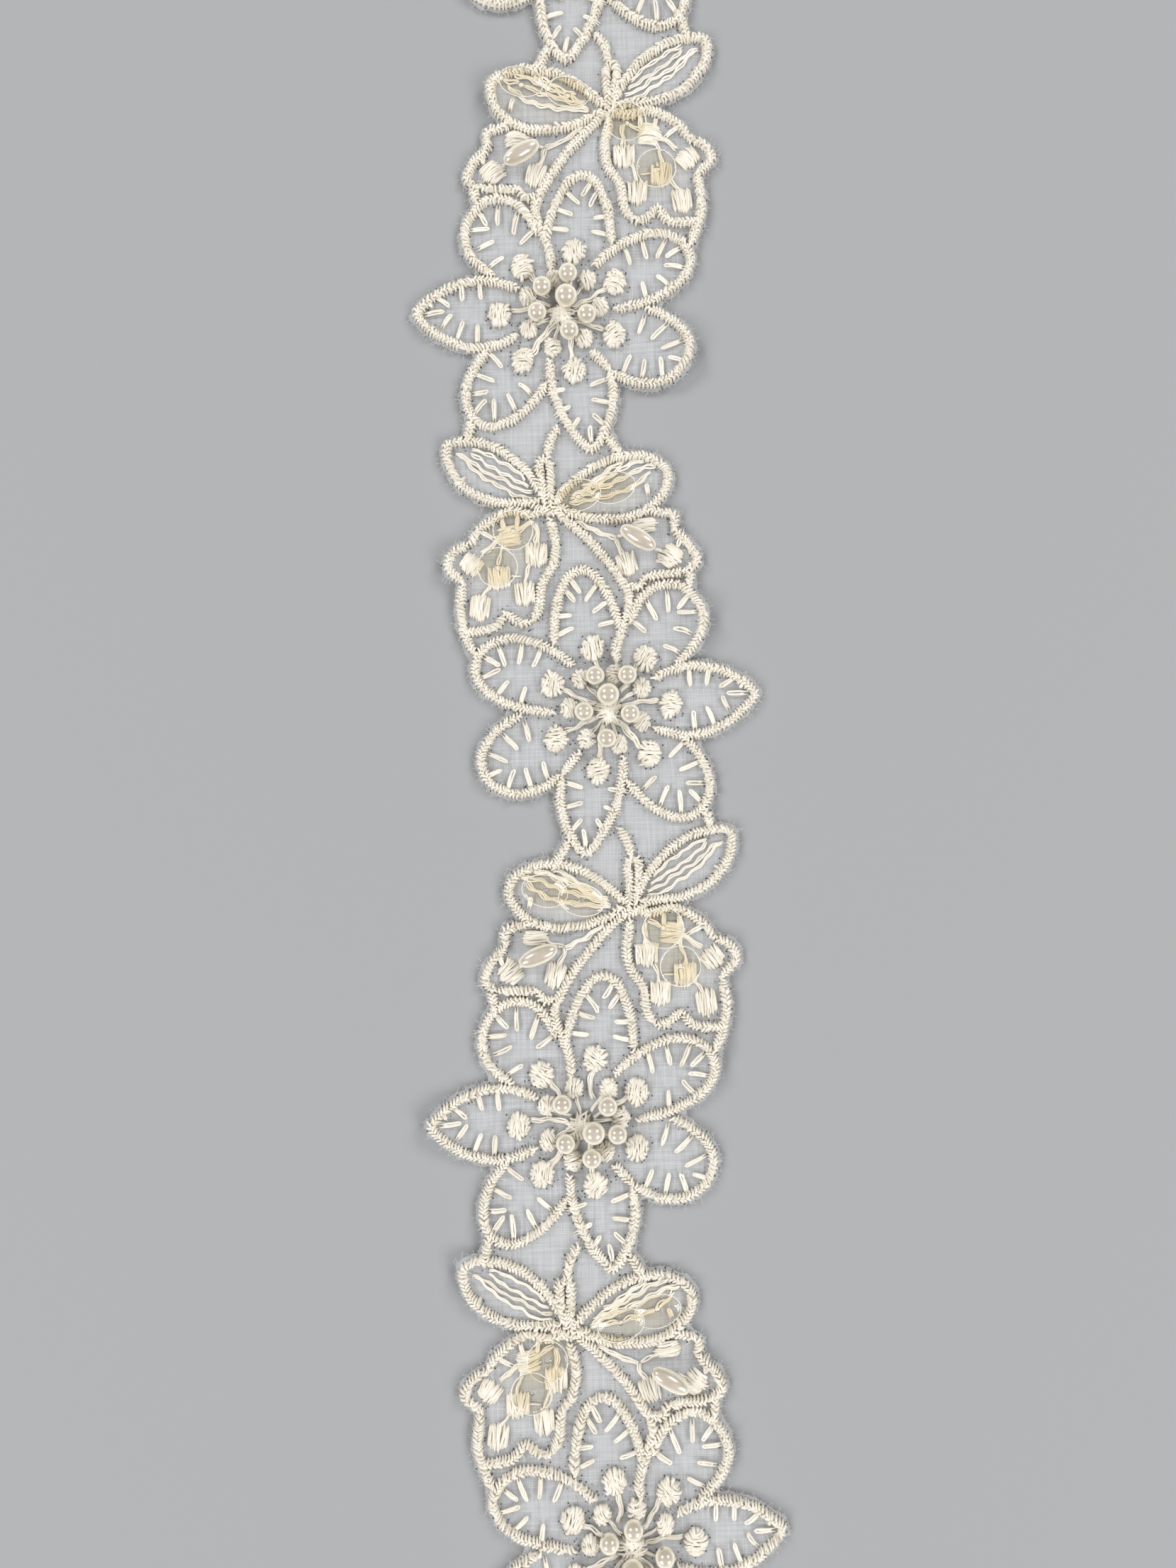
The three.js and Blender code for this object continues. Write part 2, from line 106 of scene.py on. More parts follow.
outerDots = [(-10.3, 0.5), (-6.3, 8.6), (2.5, 10.7), (9.3, 5.0), (9.0, -4.1), (2.1, -9.8), (-6.6, -7.5)]
innerDots = [(-5.5, 3.5), (-1.0, 6.2), (4.6, 5.7), (6.6, 0.9), (3.9, -4.4), (-1.5, -5.6), (-5.4, -2.1)]

# Satin blocks: middle, size across and along the threads, and the threads' turn in degrees
blocks = [
    {"at": (11.5, 27.2), "size": (3.3, 3.9), "turn": 0},
    {"at": (13.6, 20.7), "size": (3.0, 4.0), "turn": -4},
    {"at": (17.8, 23.6), "size": (3.4, 4.0), "turn": 0},
    {"at": (21.1, 18.8), "size": (3.0, 4.1), "turn": 8},
    {"at": (22.3, 26.0), "size": (3.2, 3.2), "turn": 35},
    {"at": (15.9, 30.4), "size": (3.2, 3.8), "turn": 80},
    {"at": (-6.8, 30.9), "size": (2.2, 4.0), "turn": 85},
    {"at": (-10.9, 25.5), "size": (3.4, 3.4), "turn": -50},
    {"at": (-3.6, 24.7), "size": (3.0, 4.0), "turn": -14},
]

# Organza inside the outer cords, and how it is cut off square at each end of the length
ground = [(9.5, 35.2), (-6.0, 33.5), (-13.9, 22.6), (-14.1, 20.2), (-12.2, 7.6), (-12.4, -4.9), (-15.6, -17.2),
          (-2.0, -12.0), (4.5, -23.0), (9.2, -11.4), (15.2, 0.2), (22.3, 11.5), (23.8, 15.0), (23.9, 22.8),
          (18.4, 34.6)]
neck = [(-15.6, -17.0), (-16.4, -20.6), (-3.3, -32.5), (9.9, -25.2), (7.6, -20.5), (-3.0, -11.8)]
topEnd = [(9.5, 35.0), (24.6, 47.2), (-5.0, 43.2)]
bottomEnd = [(-2.0, -12.0), (-13.6, -18.9), (4.4, -24.6)]

# Places where an edge has curled up off the table: how high, and how far in it still shows
curls = [
    {"unit": 0, "at": (-24.4, 1.6), "rise": 1.2, "reach": 13},
    {"unit": 0, "at": (26.0, 46.3), "rise": 1.4, "reach": 13},
    {"unit": 1, "at": (22.5, -9.0), "rise": 2.0, "reach": 14},
    {"unit": 1, "at": (-11.5, 40.5), "rise": 1.5, "reach": 11},
    {"unit": 2, "at": (-16.5, 14.5), "rise": 1.8, "reach": 12},
    {"unit": 2, "at": (26.5, 26.0), "rise": 1.3, "reach": 12},
    {"unit": 3, "at": (-24.6, 1.0), "rise": 1.6, "reach": 13},
    {"unit": 3, "at": (22.5, 9.0), "rise": 1.0, "reach": 12},
    {"unit": 4, "at": (26.0, 46.3), "rise": 1.3, "reach": 12},
    {"unit": 4, "at": (-16.0, -16.0), "rise": 1.4, "reach": 11},
]

# Short bars of thread, each from the petal's cord inwards, and how many threads it has
eyelashes = [
    ((-13.6, 6.3), (-13.6, 3.6), 2), ((-16.8, 6.5), (-16.4, 3.6), 2), ((-20.75, 4.2), (-18.7, 2.75), 2),
    ((-22.6, 3.8), (-22.1, 2.7), 1), ((-22.6, 1.5), (-19.9, 1.7), 3), ((-19.9, -0.6), (-18.6, 0.9), 2),
    ((-17.6, -3.3), (-16.4, -0.4), 2), ((-14.3, -3.7), (-13.9, -1.0), 3), ((-11.6, 9.2), (-9.7, 10.5), 2),
    ((-13.5, 12.3), (-11.3, 13.2), 2), ((-14.7, 15.5), (-12.0, 15.5), 2), ((-13.5, 18.4), (-12.0, 16.5), 3),
    ((-10.3, 19.0), (-10.5, 16.2), 2), ((-6.9, 17.75), (-8.1, 14.7), 3), ((-4.3, 14.8), (-6.5, 13.0), 3),
    ((-12.3, -5.9), (-10.0, -8.2), 2), ((-14.5, -9.5), (-11.7, -10.6), 2), ((-15.0, -12.8), (-12.7, -12.9), 3),
    ((-14.8, -16.1), (-13.1, -14.0), 3), ((-11.4, -17.4), (-11.5, -14.0), 2),
    ((-8.0, -15.7), (-9.2, -13.2), 2),
    ((-5.6, -13.0), (-7.1, -11.3), 2), ((-2.3, -13.4), (0.3, -12.9), 2), ((-1.0, -17.0), (1.0, -15.9), 2),
    ((1.25, -19.9), (2.7, -18.0), 2), ((4.5, -22.2), (4.3, -19.7), 2), ((6.9, -19.5), (5.0, -17.8), 2),
    ((7.7, -15.6), (5.0, -15.2), 2), ((7.3, -11.5), (4.9, -12.4), 2), ((14.0, -1.4), (13.2, -4.0), 2),
    ((17.6, -3.2), (15.4, -5.2), 3), ((19.8, -6.2), (17.0, -7.2), 2), ((20.6, -9.8), (18.2, -8.8), 2),
    ((17.1, -12.0), (16.4, -8.8), 2), ((13.4, -11.6), (14.1, -8.9), 2), ((10.4, -10.6), (11.4, -8.0), 2),
    ((11.2, 10.8), (12.1, 8.1), 2), ((14.3, 11.8), (14.6, 8.9), 2), ((18.0, 11.7), (16.8, 8.8), 2),
    ((20.2, 10.2), (18.4, 8.8), 3), ((20.8, 7.0), (18.0, 7.8), 2), ((18.6, 4.1), (16.7, 5.7), 2),
    ((14.6, 1.8), (14.0, 4.7), 2), ((-1.5, 15.1), (1.4, 14.6), 2), ((0.0, 18.4), (2.25, 17.0), 2),
    ((1.6, 21.1), (3.4, 18.9), 2), ((5.8, 22.6), (4.6, 20.3), 3), ((6.8, 20.9), (5.2, 18.8), 3),
    ((8.5, 16.3), (6.2, 16.5), 2), ((8.3, 13.2), (5.8, 14.1), 2), ((14.3, 34.0), (14.6, 32.0), 2),
    ((17.2, 33.2), (16.8, 31.5), 2), ((18.8, 30.2), (20.6, 31.3), 2), ((23.4, 40.8), (24.3, 40.2), 1),
    ((-7.6, 36.2), (-7.3, 37.4), 2), ((-12.9, 29.2), (-12.5, 27.0), 2),
]

# Loose bundles of thread: how many threads, how wide it waves, and its places in the chart
bundles = [
    (3, 0.12, [(-8.4, 1.2), (-5.0, 1.3), (-2.0, 0.5)]), (3, 0.12, [(-5.2, 7.9), (-3.4, 5.0), (-2.0, 3.0)]),
    (3, 0.12, [(2.2, 8.9), (1.6, 6.6), (2.0, 4.0)]), (3, 0.12, [(8.0, 4.4), (5.0, 2.5), (2.0, 1.2)]),
    (3, 0.12, [(7.4, -3.0), (4.7, -1.9), (2.0, -0.8)]), (3, 0.12, [(1.7, -8.2), (1.6, -5.0), (1.0, -2.0)]),
    (4, 0.15, [(-5.3, -6.6), (-2.4, -2.8), (-1.0, -1.5)]), (2, 0.08, [(-4.4, 2.9), (-1.6, 1.6)]),
    (2, 0.08, [(-0.7, 5.0), (-0.2, 2.0)]), (2, 0.08, [(3.8, 4.8), (1.6, 2.2)]),
    (2, 0.08, [(5.5, 0.7), (2.0, 0.4)]),
    (2, 0.08, [(3.2, -3.5), (1.2, -1.4)]), (2, 0.08, [(-1.2, -4.6), (-0.3, -1.4)]),
    (2, 0.08, [(-4.4, -1.6), (-1.6, -0.5)]),
    (3, 0.1, [(11.8, 32.8), (15.2, 30.9), (17.9, 29.7), (20.6, 27.6)]),
    (2, 0.08, [(16.8, 29.4), (17.6, 27.0), (18.1, 25.1)]),
    (3, 0.1, [(11.4, 32.4), (11.3, 30.6), (11.4, 28.6)]),
    (2, 0.08, [(12.6, 25.6), (13.2, 24.0), (13.5, 22.2)]), (1, 0.05, [(14.1, 23.6), (16.0, 23.6)]),
    (2, 0.08, [(19.2, 22.3), (20.2, 21.0), (20.9, 20.2)]), (3, 0.1, [(4.7, 32.5), (1.4, 30.4), (-2.0, 29.0)]),
    (3, 0.1, [(-2.0, 29.0), (-2.3, 27.6), (-3.2, 26.0)]), (2, 0.08, [(-2.2, 29.2), (-5.2, 30.4)]),
    (2, 0.08, [(-8.2, 27.2), (-9.6, 26.2)]),
    (2, 0.13, [(11.9, 36.6), (14.8, 37.3), (16.8, 38.7), (20.5, 41.0), (24.0, 44.8)]),
    (2, 0.13, [(11.9, 37.6), (14.4, 38.4), (16.6, 40.0), (19.8, 41.6), (22.6, 44.0), (24.6, 45.0)]),
    (2, 0.13, [(12.5, 38.6), (15.2, 40.2), (17.6, 41.6), (19.7, 43.0), (22.0, 45.0)]),
    (2, 0.13, [(13.0, 39.8), (15.2, 42.0), (17.3, 43.2), (19.4, 44.6), (21.9, 45.6)]),
    (3, 0.12, [(3.5, 38.0), (1.0, 39.2), (-1.5, 41.0), (-3.5, 42.0)]),
    (3, 0.14, [(5.3, 36.5), (2.0, 38.0), (-1.5, 39.8), (-4.5, 41.4), (-7.0, 42.0)]),
    (3, 0.14, [(5.5, 35.9), (1.0, 37.5), (-3.0, 39.0), (-6.5, 40.6), (-9.0, 41.0)]),
    (3, 0.14, [(5.8, 35.4), (0.5, 36.0), (-4.8, 37.5), (-8.0, 40.0)]),
]


# Chart to band: u counts from the band's middle line, turned by the flower's side, v is added to
# the height of the flower's centre, and the lean shears the cloth
def toBand(unit, chart):
    chart = np.asarray(chart, float)
    x = band["sides"][unit] * (chart[..., 0] - band["glide"])
    centreY = (len(band["sides"]) // 2 - unit) * band["pitch"]
    return np.stack([x, centreY + chart[..., 1] + band["lean"] * x], -1)


# Height of the organza: the table's gap, each curl's rise times (1 - distance / reach) squared, and
# the sum of four slow waves that run in different directions
def clothHeight(xy):
    spots = np.array([toBand(curl["unit"], curl["at"]) for curl in curls])
    reach = np.array([curl["reach"] for curl in curls])
    rise = np.array([curl["rise"] for curl in curls])
    far = np.hypot(xy[..., None, 0] - spots[:, 0], xy[..., None, 1] - spots[:, 1]) / reach
    lift = (rise * np.clip(1 - far, 0, None) ** 2).sum(-1)
    waves = [(0.9, 0.31, 0.4), (-0.42, 0.77, 1.9), (0.23, -1.13, 3.1), (1.21, 0.64, 5.2)]
    ripple = sum(np.sin(a * xy[..., 0] + b * xy[..., 1] + c) for a, b, c in waves) / len(waves)
    return band["clothAt"] + lift + band["ripple"] * ripple


# Places on the band with their height over the cloth, as places in space
def overCloth(xy, height):
    return np.concatenate([xy, (clothHeight(xy) + height)[..., None]], -1)


# Petal edge: along the axis from the roots to the tip it runs as 1 - |c| to the power point, across
# it as c, and each side bulges by swell times c (1 - c squared), with c the cosine from 1 to -1
def petalRoute(petal, steps=120):
    first, second = np.array(petal["roots"], float)
    middle = (first + second) / 2
    axis = np.array(petal["tip"]) - middle
    half = first - middle
    side = leftOf(axis) / np.hypot(*axis)
    side = side * np.sign(side @ half)
    c = np.cos(np.linspace(0, np.pi, steps + 1))[:, None]
    swell = np.where(c > 0, petal["swell"][0], petal["swell"][1])
    return middle + axis * (1 - np.abs(c) ** petal["point"]) + half * c + side * swell * c * (1 - c * c)


# Smooth route through the places: each span is the cubic whose slope at a place is half the step
# between its two neighbours
def splineRoute(places, steps=14):
    p = np.asarray(places, float)
    ends = np.vstack([2 * p[0] - p[1], p, 2 * p[-1] - p[-2]])
    t = np.linspace(0, 1, steps, endpoint=False)[None, :, None]
    a, b, c, d = ends[:-3, None], ends[1:-2, None], ends[2:-1, None], ends[3:, None]
    span = b + 0.5 * t * (c - a + t * (2 * a - 5 * b + 4 * c - d + t * (3 * (b - c) + d - a)))
    return np.vstack([span.reshape(-1, 2), p[-1:]])


# The same route with its points an equal step apart, the way along it at each point, and the length
# up to there
def evenly(route, step):
    gaps = np.hypot(*np.diff(route, axis=0).T)
    along = np.concatenate([[0], np.cumsum(gaps)])
    s = np.linspace(0, along[-1], max(3, int(round(along[-1] / step)) + 1))
    points = np.stack([np.interp(s, along, route[:, k]) for k in (0, 1)], -1)
    way = np.gradient(points, axis=0)
    return points, way / np.linalg.norm(way, axis=1, keepdims=True), s


# A way turned left by a quarter
def leftOf(way):
    return np.stack([-way[..., 1], way[..., 0]], -1)


# Points turned about the upright axis by an angle
def turnedFlat(points, angle):
    c, s = math.cos(angle), math.sin(angle)
    return points @ np.array([[c, s, 0], [-s, c, 0], [0, 0, 1]])


# Slow random curve along a length: the sum of three sines with their own lengths and starts
def drift(s, longest):
    lengths = longest * chance.uniform(0.35, 1.0, 3)
    return sum(np.sin(2 * np.pi * s / each + chance.uniform(0, 7)) for each in lengths) / 3


# Tubes carried along paths: each ring of the tube lies square to its path, with half its width from
# side to side and half its height given. The end rings are narrowed by the taper and closed. Paths
# is an array of path, ring and place.
def tubes(paths, width, height, sides=5, taper=0.6):
    count, rings = paths.shape[:2]
    along = np.gradient(paths, axis=1)
    along /= np.linalg.norm(along, axis=2, keepdims=True)
    side = np.cross([0.0, 0.0, 1.0], along)
    side /= np.linalg.norm(side, axis=2, keepdims=True) + 1e-9
    up = np.cross(along, side)
    ends = np.ones(rings)
    ends[[0, -1]] = taper
    angle = 2 * np.pi * (np.arange(sides) + 0.25) / sides
    wide = (np.broadcast_to(width, (count, rings)) * ends)[..., None, None]
    tall = (np.broadcast_to(height, (count, rings)) * ends)[..., None, None]
    verts = (paths[:, :, None] + wide * np.cos(angle)[:, None] * side[:, :, None]
             + tall * np.sin(angle)[:, None] * up[:, :, None])
    base = (np.arange(count) * rings * sides)[:, None, None]
    ring = (np.arange(rings - 1) * sides)[None, :, None]
    k = np.arange(sides)[None, None, :]
    near, after = base + ring + k, base + ring + (k + 1) % sides
    quads = np.stack([near, after, after + sides, near + sides], -1).reshape(-1, 4)
    first = base[:, 0] + np.arange(sides)[::-1]
    last = base[:, 0] + (rings - 1) * sides + np.arange(sides)
    gaps = np.linalg.norm(np.diff(paths, axis=1), axis=2)
    length = np.concatenate([np.zeros((count, 1)), np.cumsum(gaps, axis=1)], 1)
    low, high = length[:, :-1, None], length[:, 1:, None]
    u0, u1 = k / sides + 0 * low, (k + 1) / sides + 0 * low
    low, high = low + 0 * u0, high + 0 * u0
    uv = np.stack([u0, low, u1, low, u1, high, u0, high], -1).reshape(-1, 4, 2)
    capUv = np.zeros((2 * count, sides, 2))
    tone = np.repeat(chance.uniform(0, 1, count) ** 0.6, rings * sides)
    return {"verts": verts.reshape(-1, 3), "faces": [quads, np.vstack([first, last])],
            "uvs": [uv, capUv], "tone": tone}


# A closed ring of profile points turned about an axis: each turn swings the whole ring by one step
# of the circle, so that the last turn meets the first. Long and wide stretch it to an oval.
def turned(radii, heights, around, long=1.0, wide=1.0):
    angle = 2 * np.pi * np.arange(around) / around
    x = long * np.cos(angle)[:, None] * radii
    y = wide * np.sin(angle)[:, None] * radii
    verts = np.stack([x, y, np.broadcast_to(heights, x.shape)], -1).reshape(-1, 3)
    count = len(radii)
    j, k = np.arange(around)[:, None], np.arange(count)[None, :]
    nextJ, nextK = (j + 1) % around, (k + 1) % count
    quads = np.stack([j * count + k, nextJ * count + k, nextJ * count + nextK, j * count + nextK], -1)
    u, v = j / around + 0 * k, k / count + 0 * j
    uv = np.stack([u, v, u + 1 / around, v, u + 1 / around, v + 1 / count, u, v + 1 / count], -1)
    tone = np.full(len(verts), chance.uniform())
    return {"verts": verts, "faces": [quads.reshape(-1, 4)], "uvs": [uv.reshape(-1, 4, 2)], "tone": tone}


# One mesh object from many parts, its faces numbered on from part to part
def makePiece(name, parts, material, attribute="tone"):
    starts = np.cumsum([0] + [len(part["verts"]) for part in parts])
    verts = np.vstack([part["verts"] for part in parts]) * mm
    faces = [face + start for part, start in zip(parts, starts) for face in part["faces"]]
    corners = np.concatenate([face.ravel() for face in faces])
    sizes = np.concatenate([np.full(len(face), face.shape[1]) for face in faces])
    mesh = bpy.data.meshes.new(name)
    mesh.vertices.add(len(verts))
    mesh.vertices.foreach_set("co", verts.ravel())
    mesh.loops.add(len(corners))
    mesh.loops.foreach_set("vertex_index", corners)
    mesh.polygons.add(len(sizes))
    mesh.polygons.foreach_set("loop_start", np.concatenate([[0], np.cumsum(sizes)[:-1]]))
    mesh.update(calc_edges=True)
    uv = np.concatenate([each.ravel() for part in parts for each in part["uvs"]])
    mesh.uv_layers.new(name="thread").data.foreach_set("uv", uv)
    mesh.attributes.new(attribute, "FLOAT", "POINT").data.foreach_set(
        "value", np.concatenate([part["tone"] for part in parts]))
    mesh.polygons.foreach_set("use_smooth", np.ones(len(sizes), bool))
    mesh.materials.append(material)
    piece = bpy.data.objects.new(name, mesh)
    bpy.context.scene.collection.objects.link(piece)
    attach(piece, "root")
    print("made", name, len(sizes), "faces")
    return piece


# Threads laid from places a to places b: in height each rises from its ends as 1 - |t|^power, with
# t from -1 at one end to 1 at the other, its rings closer together towards the ends. Bent is how far
# each thread's middle is shifted, which falls off towards its ends as 1 - t squared.
def laidThreads(a, b, low, rise, width, height, rings=6, power=4, taper=0.6, sides=5, bent=0.0):
    t = np.sin(np.linspace(-np.pi / 2, np.pi / 2, rings))
    share = ((t + 1) / 2)[None, :, None]
    shift = np.broadcast_to(bent, a.shape)[:, None] * (1 - t * t)[None, :, None]
    xy = a[:, None] * (1 - share) + b[:, None] * share + shift
    lift = np.broadcast_to(rise, len(a))[:, None] * (1 - np.abs(t) ** power)
    return tubes(overCloth(xy, low + lift), width, height, sides, taper)


# One long thread along a route, at a height over the cloth
def longThread(route, low, width, height, step=0.8, sides=5):
    points, way, s = evenly(route, step)
    return tubes(overCloth(points, low)[None], width, height, sides)


# Gives a socket its value, or joins it to the output that feeds it
def feed(tree, socket, value):
    if isinstance(value, bpy.types.NodeSocket):
        tree.links.new(value, socket)
    else:
        socket.default_value = value


def feedAll(tree, node, values):
    for name, value in values.items():
        feed(tree, node.inputs[name], value)


# New node: values named in0, in1 and so on are for its sockets, and the others are its settings
def newNode(tree, kind, **values):
    node = tree.nodes.new(kind)
    for key, value in values.items():
        if key.startswith("in"):
            feed(tree, node.inputs[int(key[2:])], value)
        else:
            setattr(node, key, value)
    return node


def maths(tree, operation, *values, clamp=False):
    node = newNode(tree, "ShaderNodeMath", operation=operation, use_clamp=clamp)
    for socket, value in zip(node.inputs, values):
        feed(tree, socket, value)
    return node.outputs[0]


# A value taken from the range between start and end to the range between low and high
def ranged(tree, value, start, end, low=0.0, high=1.0):
    return newNode(tree, "ShaderNodeMapRange", in0=value, in1=start, in2=end, in3=low, in4=high).outputs[0]


# Colour that goes from the first to the second as the share goes from 0 to 1
def blended(tree, share, first, second):
    return newNode(tree, "ShaderNodeMix", data_type="RGBA", in0=share, in6=first, in7=second).outputs[2]


def bumped(tree, height, strength, distance):
    bump = newNode(tree, "ShaderNodeBump")
    feedAll(tree, bump, {"Strength": strength, "Distance": distance * mm, "Height": height})
    return bump.outputs[0]


# Group with the named inputs and outputs; a vector comes in first
def newGroup(name, numbers, outputs):
    group = bpy.data.node_groups.new(name, "ShaderNodeTree")
    face = group.interface
    face.new_socket(name="Vector", in_out="INPUT", socket_type="NodeSocketVector")
    for each, value in numbers.items():
        face.new_socket(name=each, in_out="INPUT", socket_type="NodeSocketFloat").default_value = value
    for each in outputs:
        face.new_socket(name=each, in_out="OUTPUT", socket_type="NodeSocketFloat")
    return group, newNode(group, "NodeGroupInput").outputs, newNode(group, "NodeGroupOutput")


# Node group: soft cloudy variation of a surface, from low to high, out of one noise
def makeMottle():
    group, given, end = newGroup("mottle", {"Scale": 5.0, "Low": 0.0, "High": 1.0}, ["Value"])
    noise = newNode(group, "ShaderNodeTexNoise")
    feedAll(group, noise, {"Vector": given["Vector"], "Scale": given["Scale"], "Detail": 4.0,
                           "Roughness": 0.6})
    feed(group, end.inputs["Value"], ranged(group, noise.outputs[0], 0.3, 0.7, given["Low"], given["High"]))
    return group


# Node group: plain weave. The warp's and weft's heights are |sin| across each thread, each lifted
# where it passes over the other, and cover is the greater of the two.
def makeWeave():
    form = {"round": 0.7, "mean": 0.6, "over": 0.4}
    group, given, end = newGroup("plainWeave", {"Threads": 3.2}, ["Height", "Cover"])
    grain = newNode(group, "ShaderNodeVectorMath", operation="SCALE")
    feed(group, grain.inputs[0], given["Vector"])
    feed(group, grain.inputs["Scale"], given["Threads"])
    split = newNode(group, "ShaderNodeSeparateXYZ", in0=grain.outputs[0]).outputs
    waves = [maths(group, "SINE", maths(group, "MULTIPLY", split[k], math.pi)) for k in (0, 1)]
    over = maths(group, "MULTIPLY", maths(group, "MULTIPLY", *waves), form["over"])
    warp, weft = (maths(group, "POWER", maths(group, "ABSOLUTE", wave), form["round"]) for wave in waves)
    warpUp = maths(group, "MULTIPLY", warp, maths(group, "ADD", over, form["mean"]))
    weftUp = maths(group, "MULTIPLY", weft, maths(group, "SUBTRACT", form["mean"], over))
    feedAll(group, end, {"Height": maths(group, "MAXIMUM", warpUp, weftUp),
                         "Cover": maths(group, "MAXIMUM", warp, weft)})
    return group


def newMaterial(name):
    material = bpy.data.materials.new(name)
    material.use_nodes = True
    tree = material.node_tree
    return material, tree, tree.nodes["Principled BSDF"]


def useGroup(tree, group, **values):
    node = newNode(tree, "ShaderNodeGroup", node_tree=group)
    feedAll(tree, node, values)
    return node.outputs


# Rayon thread: each thread has its own shade between two ivories, and fine filaments run along it
def makeThreadMaterial(mottle):
    look = {"pale": (0.985, 0.95, 0.87, 1), "deep": (0.73, 0.655, 0.53, 1), "byThread": 0.55,
            "byFilament": 0.45, "stretch": (9.0, 0.8, 1), "rough": (0.26, 0.46), "relief": 0.05}
    material, tree, shader = newMaterial("ivoryRayon")
    tone = newNode(tree, "ShaderNodeAttribute", attribute_name="tone").outputs["Fac"]
    place = newNode(tree, "ShaderNodeUVMap", uv_map="thread").outputs[0]
    drawn = newNode(tree, "ShaderNodeMapping", in0=place, in3=look["stretch"]).outputs[0]
    filaments = useGroup(tree, mottle, Vector=drawn, Scale=1.6, Low=0.0, High=1.0)[0]
    light = maths(tree, "MULTIPLY", filaments, look["byFilament"])
    share = maths(tree, "MULTIPLY_ADD", tone, look["byThread"], light)
    feedAll(tree, shader, {
        "Base Color": blended(tree, share, look["deep"], look["pale"]),
        "Roughness": ranged(tree, filaments, 0, 1, *look["rough"]),
        "Normal": bumped(tree, filaments, 0.5, look["relief"]),
        "Sheen Weight": 0.2,
        "Sheen Roughness": 0.4,
    })
    return material


# Sheer organza: cover and height of a plain weave, its threads with a painted shade where the weave lies low,
# needle holes beside the stitching filled with painted shadow, and slow changes in how close the threads lie
def makeOrganzaMaterial(mottle, weave):
    # The hole colour is painted shadow: near-black laid over the needle holes where the floor in shade would
    # show
    look = {"thread": (0.84, 0.85, 0.87, 1), "threadShade": (0.7224, 0.731, 0.7482, 1), "threadsPerMm": 3.7,
            "open": 0.04, "closed": 0.36, "streaks": (0.8, 1.2), "relief": 0.08, "rough": 0.38,
            "hole": (0.06, 0.065, 0.08, 1), "holeEvery": 0.74, "holeCover": 0.7, "holeRim": (0.18, 0.28),
            "holesWithin": (0.6, 0.9)}
    material, tree, shader = newMaterial("sheerOrganza")
    place = newNode(tree, "ShaderNodeUVMap", uv_map="thread").outputs[0]
    weaving = useGroup(tree, weave, Vector=place, Threads=look["threadsPerMm"])
    dense = ranged(tree, weaving["Cover"], 0, 1, look["open"], look["closed"])
    low, high = look["streaks"]
    for stretch in ((2.1, 0.08, 1), (0.08, 2.1, 1)):
        slub = newNode(tree, "ShaderNodeMapping", in0=place, in3=stretch).outputs[0]
        streaks = useGroup(tree, mottle, Vector=slub, Scale=1.0, Low=low, High=high)[0]
        dense = maths(tree, "MULTIPLY", dense, streaks, clamp=True)
    cells = newNode(tree, "ShaderNodeTexVoronoi")
    feedAll(tree, cells, {"Vector": place, "Scale": 1 / look["holeEvery"]})
    pricked = ranged(tree, cells.outputs["Distance"], *look["holeRim"])
    beside = newNode(tree, "ShaderNodeAttribute", attribute_name="besideStitches").outputs["Fac"]
    whole = maths(tree, "MAXIMUM", pricked, ranged(tree, beside, *look["holesWithin"]))
    # Painted shadow: in the needle holes the cloth keeps part of its cover and takes the near-black hole
    # colour
    cover = newNode(tree, "ShaderNodeMix", data_type="FLOAT", in0=whole, in2=look["holeCover"], in3=dense)
    # Painted shade: the weave's low parts, between and under the threads, take the darker copy of the thread
    # colour
    thread = blended(tree, weaving["Height"], look["threadShade"], look["thread"])
    feedAll(tree, shader, {
        "Base Color": blended(tree, whole, look["hole"], thread),
        "Alpha": cover.outputs[0],
        "Normal": bumped(tree, weaving["Height"], 0.6, look["relief"]),
        "Roughness": look["rough"],
        "Sheen Weight": 0.3,
    })
    return material


# Object coordinates and the mottle group on them
def cloudsOver(tree, mottle, scale, low=0.0, high=1.0):
    place = newNode(tree, "ShaderNodeTexCoord").outputs["Object"]
    return useGroup(tree, mottle, Vector=place, Scale=scale, Low=low, High=high)[0]


# Imitation pearl under a clear coat: cream lacquer with cloudy lustre. Where it faces the eye a painted
# reflection of the dark room above turns it grey-beige; towards its rim its own cream shows
def makePearlMaterial(mottle):
    look = {"rim": (1.0, 0.95, 0.8, 1), "paintedReflectionFacing": (0.54, 0.47, 0.38, 1), "rimFrom": (0.14, 0.36),
            "cloudy": 0.16, "clouds": 700.0, "rough": (0.24, 0.36), "metal": 0.1, "coatRough": 0.03,
            "coatIor": 1.8}
    material, tree, shader = newMaterial("creamPearl")
    clouds = cloudsOver(tree, mottle, look["clouds"])
    paintedReflectionFacing = newNode(tree, "ShaderNodeLayerWeight", in0=0.35).outputs["Facing"]
    turning = ranged(tree, paintedReflectionFacing, *look["rimFrom"])
    share = maths(tree, "MULTIPLY_ADD", clouds, look["cloudy"], turning, clamp=True)
    feedAll(tree, shader, {
        # Painted reflection: grey-beige where the pearl faces the eye, its own cream towards the rim
        "Base Color": blended(tree, share, look["paintedReflectionFacing"], look["rim"]),
        "Roughness": ranged(tree, clouds, 0, 1, *look["rough"]),
        "Metallic": look["metal"],
        "Coat Weight": 1.0,
        "Coat Roughness": look["coatRough"],
        "Coat IOR": look["coatIor"],
    })
    return material


